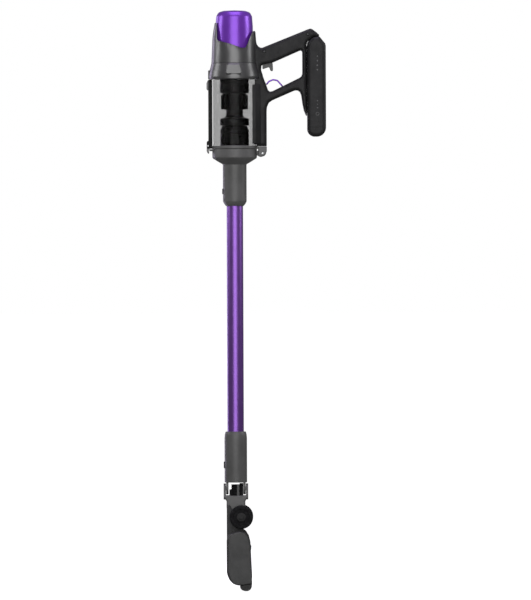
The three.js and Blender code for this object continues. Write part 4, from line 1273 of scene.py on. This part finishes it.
def head_cover():
    body = prism("cover_blank", head_outline(), 2 * HALF_WIDTH)
    body = boolean(body, *head_rooms())
    shell = boolean(body, box("upper", (-60, -200, -200), (SPLIT, 200, 60)), operation="INTERSECT")
    arm_outline = [
        (-29.2, -46), (-29.2, 18, 6), (-27, 24, 4), (-22.6, 24, 4), (-19, 14, 8), (-8, 10.4, 8), (4, 11, 6),
        (11, 5, 5), (12.4, -3, 8), (9, -12, 8), (3.6, -26, 3), (3.6, -46),
    ]
    arms = [pillow("arm", [filleted(arm_outline)], 8, 1.6, side * 25.4) for side in (-1, 1)]
    whole = union("head_shell", shell, *arms)
    whole = boolean(whole, axle_rod("axle_hole", 3.4, 0, 0, 80, sides=32), *vent_slots())
    finished(smooth(at_axle(whole), 30), "floor_head", HEAD_DARK, "head_cover")
    accent_strip()


def vent_slots():
    """A row of cooling slots behind the brush motor, on the head's top."""
    slots = []
    for i in range(6):
        y = -84 + 7 * i
        slots.append(box("vent", (-31, y, -70), (-28.0, y + 2.2, -58)))
    return slots


def accent_strip():
    """A thin purple line let into each side of the head's top."""
    for side, label in SIDES:
        low, high = sorted((side * 32, side * 108))
        strip = rounded(box("accent_" + label, (-29.2, low, -47.4), (-28.6, high, -44.6)), 0.25, 2)
        finished(at_axle(strip), "floor_head", PURPLE)


def head_base():
    span = HALF_WIDTH - 7
    body = prism("base_blank", head_outline(), 2 * HALF_WIDTH)
    body = boolean(body, *head_rooms())
    base = boolean(body, box("lower", (SPLIT + 0.4, -200, -200), (60, 200, 60)), operation="INTERSECT")
    rooms = [box("mouth", (SPLIT, -span, -126), (40, span, -96))]
    for side in (-1, 1):
        rooms.append(box("roller_pocket", (9, side * 70 - 8, -70), (30, side * 70 + 8, -54)))
        rooms.append(box("arm_room", (0, side * 25.4 - 4.6, -46.5), (16, side * 25.4 + 4.6, 20)))
    for i in range(9):
        y = -88 + 22 * i
        rooms.append(box("channel", (19.2, y - 3, -95), (23, y + 3, -80)))
    base = boolean(base, *rooms)
    base.name = "sole_plate"
    finished(smooth(at_axle(base), 30), "floor_head", CHARCOAL, "head_base")


def end_caps():
    for side, label in SIDES:
        centre = side * (HALF_WIDTH + 0.4 + 3.5)
        cap = pillow("side_" + label, [head_outline(3.4)], 7, 2.4, centre)
        journal = axle_rod("journal", 4.6, BRUSH_X, BRUSH_Z, 9, side * HALF_WIDTH)
        cap = boolean(cap, journal)
        finished(smooth(at_axle(cap), 40), "floor_head", HEAD_GREY, "end_cap_" + label)


def bumper():
    outline = [
        (-3, -134.2), (17, -131.4, 1), (20.4, -130, 1), (20.8, -136, 4), (18, -141.4, 4), (13, -144.2, 4),
        (7, -144.4, 6), (1, -142.4, 4), (-2.4, -138.6, 2),
    ]
    low, high = box_mm("head_bumper")
    strip = pillow("front_bumper", [filleted(outline, 0.6)], high.y - low.y, 1.3)
    grooves = [box("groove", (4, 14 * i - 0.6, -146), (18, 14 * i + 0.6, -143.6)) for i in range(-8, 9)]
    strip = boolean(strip, *grooves)
    finished(smooth(at_axle(strip), 40), "floor_head", GREY_RUBBER, "head_bumper")


def brush():
    span = HALF_WIDTH - 3
    core = rod("core_barrel", "y", 12.8, 2 * span - 6, (0, 0, 0), 0.8, 64)
    groove = ring_of_revolution("pulley_groove", [(9, -4), (15, -4), (15, 4), (9, 4)], 0.1, axis="y",
                                centre=(0, -104, 0), sides=64)
    core = boolean(core, groove)
    axle = rod("journals", "y", 4.2, 2 * HALF_WIDTH + 6, (0, 0, 0), 0.6, 32)
    core = union("brush_barrel", core, axle)
    finished(smooth(at_brush(core), 40), "brush", CHARCOAL, "brush_core")
    bristles()


def bristles():
    """Rows of tufts in two helices round the core, over a short soft pile."""
    verts, faces = [], []
    first, last = -97.0, 103.0
    rows, tufts, strands = 6, 74, 5
    for row in range(rows):
        for k in range(tufts):
            t = k / (tufts - 1)
            y = first + 1.5 + (last - first - 3) * t
            heading = math.tau * row / rows + 1.6 * abs(t - 0.5)
            for _ in range(strands):
                a = heading + random.uniform(-0.11, 0.11)
                y0 = y + random.uniform(-1.0, 1.0)
                tip = 19.9 - random.uniform(0.0, 1.3)
                a_tip = a + random.uniform(-0.09, 0.09)
                y_tip = y0 + random.uniform(-1.0, 1.0)
                start = len(verts)
                for j in range(3):
                    b = math.tau * j / 3
                    spread = 0.42
                    turn = a + spread * math.cos(b) / 12.5
                    verts.append((12.6 * math.cos(turn), y0 + spread * math.sin(b), 12.6 * math.sin(turn)))
                for j in range(3):
                    b = math.tau * j / 3
                    spread = 0.2
                    turn = a_tip + spread * math.cos(b) / 19
                    verts.append((tip * math.cos(turn), y_tip + spread * math.sin(b), tip * math.sin(turn)))
                faces += [(start + j, start + (j + 1) % 3, start + 3 + (j + 1) % 3,
                           start + 3 + j) for j in range(3)]
                faces += [(start + 3, start + 4, start + 5), (start + 2, start + 1, start)]
    tuft_mesh = mesh_object("brush_tufts", verts, faces)
    finished(at_brush(tuft_mesh), "brush", FIBRE, "brush_fibre")
    sleeve = lathe("brush_pile", pile_profile(first, last), axis="y", centre=(BRUSH_X, 0, BRUSH_Z),
                   sides=120)
    finished(smooth(at_axle(sleeve), 60), "brush", FIBRE)


def pile_profile(first, last):
    steps = 160
    outer = [(14.6 + 0.5 * math.sin(2.6 * i) * math.cos(0.9 * i), first + (last - first) * i / steps)
             for i in range(steps + 1)]
    return outer + [(13.0, last), (13.0, first)]


def belt_outline(inset):
    """The belt's path round the motor pulley and the brush's groove, grown by the inset."""
    motor_x, motor_z = -6.0, -63.0
    dx, dz = BRUSH_X - motor_x, BRUSH_Z - motor_z
    heading = math.atan2(dz, dx)
    small, large = 5.6 + inset, 9.5 + inset
    lean = math.acos((small - large) / math.hypot(dx, dz))
    points = []
    for x, z, r, start, end in ((motor_x, motor_z, small, heading + lean, heading + math.tau - lean),
                                (BRUSH_X, BRUSH_Z, large, heading - lean, heading + lean)):
        for i in range(17):
            a = start + (end - start) * i / 16
            points.append((x + r * math.cos(a), z + r * math.sin(a)))
    return points


def drive():
    low, high = box_mm("brush_motor")
    length = high.y - low.y
    r = (high.x - low.x) / 2
    centre = (low + high) / 2
    profile = [(0, -length / 2), (r - 4, -length / 2), (r - 3.4, -length / 2 + 1.2),
               (r, -length / 2 + 1.4, 0.8), (r, length / 2 - 6), (r - 0.5, length / 2 - 5.4),
               (r, length / 2 - 4.8), (r, length / 2, 1), (0, length / 2)]
    can = solid_of_revolution("brush_motor_can", profile, 0.3, axis="y", centre=centre, sides=72)
    finished(can, "floor_head", STEEL, "brush_motor")
    belt = pillow("toothed_belt", [belt_outline(1.5), belt_outline(0.15)], 5, 0.2, -104)
    finished(at_axle(belt), "floor_head", RUBBER, "drive_belt")
    spin = joint_place("pulley_spin")
    wheel = rod("pulley", "y", 5.2, 7, (spin.x, -104, spin.z), 0.4, 48)
    pulley = union("drive_pulley", wheel, rod("shaft", "y", 2, 15, (spin.x, -99, spin.z), 0.3, 32))
    finished(smooth(pulley, 40), "motor_pulley", STEEL, "motor_pulley")


def hub_cap(label, side):
    """A closed dark cap on the end of the axle, with a raised rim."""
    foot, crown = 44.4, 46.4
    profile = [(0, crown), (4.6, crown, 1), (5.2, crown - 0.9, 0.5), (8.2, crown - 0.9, 0.6),
               (9.4, foot, 0.8), (0, foot)]
    profile = [(r, side * h, *own) for r, h, *own in profile]
    cap = lathe("hub_" + label, filleted(profile, closed=False), axis="y", centre=(AXLE.x, 0, AXLE.z),
                ring=False)
    finished(cap, "floor_head", CHARCOAL)


def wheels():
    axle = cross_rod("axle_bar", AXLE, 3, 88, 0.6, 40)
    finished(axle, "floor_head", STEEL, "wheel_axle")
    r = 23.5
    for side, label in SIDES:
        node = "rear_wheel_" + label
        y = side * 37
        profile = [
            (3.4, -5.6), (8, -5.6, 0.6), (8.6, -4.8, 0.4), (15.4, -4.8, 1), (16.4, -6, 0.6), (21.6, -6, 1),
            (r, -4.2, 1.2), (r, 4.2, 1.2), (21.6, 6, 1), (16.4, 6, 0.6), (15.4, 4.8, 1), (8.6, 4.8, 0.4),
            (8, 5.6, 0.6), (3.4, 5.6),
        ]
        tyre = lathe("wheel_" + label, filleted(profile, 0.3), axis="y", centre=(AXLE.x, y, AXLE.z),
                     sides=96)
        finished(tyre, node.replace("rear_", ""), RUBBER, node)
        hub_cap(label, side)
        roller = rod("roller_" + label, "y", 4.4, 12, (AXLE.x + 15.2, side * 70, AXLE.z - 62), 1.2, 40)
        stub = rod("stub", "y", 1.6, 15, (AXLE.x + 15.2, side * 70, AXLE.z - 62), 0.3, 24)
        whole = union("roller_" + label, roller, stub)
        finished(smooth(whole, 40), "roller_" + label, RUBBER, "sole_roller_" + label)


# ---- inside the handle ----
def electronics():
    rounded_cad("control_board", BOARD, 0.2)
    low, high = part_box("control_board")
    low, high = low / MM, high / MM
    parts = []
    for i, (y, z, w, h, t) in enumerate(((-5, 74, 7, 10, 3), (5, 78, 5, 6, 2), (0, 96, 8, 8, 1.6),
                                         (-4, 118, 6, 12, 4), (5, 122, 5, 5, 2), (0, 146, 12, 7, 4))):
        chip = box(f"chip_{i}", (high.x, y - w / 2, z - h / 2), (high.x + t, y + w / 2, z + h / 2))
        parts.append(rounded(chip, 0.3, 2))
    finished(join_meshes("board_chips", parts), "main_unit", BLACK)
    rounded_cad("trigger_switch", BLACK, 0.6)
    pin = joint_place("trigger_squeeze")
    finished(cross_rod("trigger_pivot", pin, 1.8, 12, 0.4, 32), "main_unit", STEEL,
             "trigger_pin")
    rounded_cad("battery_board", BOARD, 0.2)


def battery_button():
    low, high = box_mm("battery_release_button")
    face = rounded(box("button_face", (REAR - 4.6, low.y, low.z), (REAR, high.y, high.z)), 1.1, 4)
    middle = (low.z + high.z) / 2
    ridges = [box("ridge", (REAR - 0.5, -5.5, middle - 4.6 + 3 * i), (REAR + 1, 5.5, middle - 3.4 + 3 * i))
              for i in range(4)]
    face = boolean(face, *ridges)
    stem = box("stem", (low.x, -3, middle - 3), (REAR - 4, 3, middle + 3))
    whole = union("battery_button_face", face, stem)
    finished(creased(whole), "battery_button", GUNMETAL, "battery_release_button")


# ---- assembly ----
filter_cap()
hepa_filter()
motor_housing()
cup_collar()
motor()
impeller()
handle_shells()
cup_saddle()
for screw_node, screw_place in SCREW_PLACES.items():
    cross_screw(screw_node.replace("handle_", "") + "_head", screw_place, screw_node)
finger_guard()
trigger()
mode_button()
electronics()
battery()
rail_seal()
cells()
battery_button()
dust_cup()
cyclone_shroud()
cyclone_core()
inlet_duct()
inlet_flap()
cup_base()
bottom_cover()
cup_rail()
cup_release()
cover_latch()
press_button("wand_button_face", "wand_button", "wand_release_button", -18.4, 12, 3)
press_button("collar_button_face", "head_button", "head_release_button", -18.6, 10, 3)
wand()
head_collar()
knuckle()
neck_hose()
head_cover()
head_base()
end_caps()
bumper()
brush()
drive()
wheels()


# ---- studio ----
def floor_white():
    """A pale floor that is as bright as the sky behind it, apart from the shadow on it."""
    material = bpy.data.materials.new("floor_white")
    material.use_nodes = True
    shader = material.node_tree.nodes["Principled BSDF"]
    shader.inputs["Base Color"].default_value = (0.9, 0.9, 0.9, 1)
    shader.inputs["Roughness"].default_value = 0.9
    shader.inputs["Specular IOR Level"].default_value = 0.0
    shader.inputs["Emission Color"].default_value = (1, 1, 1, 1)
    shader.inputs["Emission Strength"].default_value = 0.9
    return material


def floor():
    low = CAD_BOX[0][2] - 0.002
    reach = 300.0
    mesh = bpy.data.meshes.new("floor")
    corners = [(-reach, -reach, low), (reach, -reach, low), (reach, reach, low), (-reach, reach, low)]
    mesh.from_pydata(corners, [], [(0, 1, 2, 3)])
    ground = new_object("floor", mesh)
    mesh.materials.append(floor_white())
    ground.visible_diffuse = False
    ground.visible_glossy = False


def softbox(name, place, target, width, height, power, colour=(1, 1, 1)):
    light = bpy.data.lights.new(name, "AREA")
    light.shape = "RECTANGLE"
    light.size, light.size_y, light.energy, light.color = width, height, power, colour
    lamp = bpy.data.objects.new(name, light)
    SCENE.collection.objects.link(lamp)
    lamp.location = place
    lamp.rotation_euler = (Vector(target) - Vector(place)).to_track_quat("-Z", "Y").to_euler()


def world():
    """White to the eye, and a softer grey as light and in reflections."""
    sky = bpy.data.worlds.new("studio")
    sky.use_nodes = True
    tree = sky.node_tree
    back = tree.nodes["Background"]
    back.inputs["Color"].default_value = (1, 1, 1, 1)
    path = tree.nodes.new("ShaderNodeLightPath")
    seen = tree.nodes.new("ShaderNodeMath")
    seen.operation = "MAXIMUM"
    tree.links.new(path.outputs["Is Camera Ray"], seen.inputs[0])
    tree.links.new(path.outputs["Is Transmission Ray"], seen.inputs[1])
    strength = tree.nodes.new("ShaderNodeMapRange")
    strength.inputs["To Min"].default_value = WORLD_LIGHT
    strength.inputs["To Max"].default_value = 1.0
    tree.links.new(seen.outputs["Value"], strength.inputs["Value"])
    tree.links.new(strength.outputs["Result"], back.inputs["Strength"])
    SCENE.world = sky


def camera():
    """Level with the wand's middle, far off and square to the handle's side."""
    view = bpy.data.cameras.new("camera")
    view.lens = 450
    view.clip_end = 1000
    eye = bpy.data.objects.new("camera", view)
    SCENE.collection.objects.link(eye)
    eye.location = (0.0606, -15.0, -0.2735)
    lean = math.radians(0.22)
    eye.rotation_euler = (Matrix.Rotation(lean, 3, "Y") @ Matrix.Rotation(math.pi / 2, 3, "X")).to_euler()
    SCENE.camera = eye


WORLD_LIGHT = 0.16
MIDDLE = (0.05, 0, -0.25)
LILAC = (0.82, 0.72, 1.0)
world()
floor()
softbox("front_box", (0.0, -2.2, 0.1), (0, 0, -0.25), 1.8, 2.8, 38)
softbox("left_strip", (-1.75, 0.15, 0.62), (0, 0, 0.22), 0.7, 0.9, 8)
softbox("right_strip", (1.75, 0.0, 0.62), (0, 0, 0.22), 0.7, 0.9, 8)
softbox("left_rim", (-1.5, 1.7, -0.3), MIDDLE, 0.5, 2.4, 14, LILAC)
softbox("top_box", (0.1, -0.3, 1.9), MIDDLE, 1.4, 1.4, 20, LILAC)
camera()
SCENE.view_settings.view_transform = "Standard"
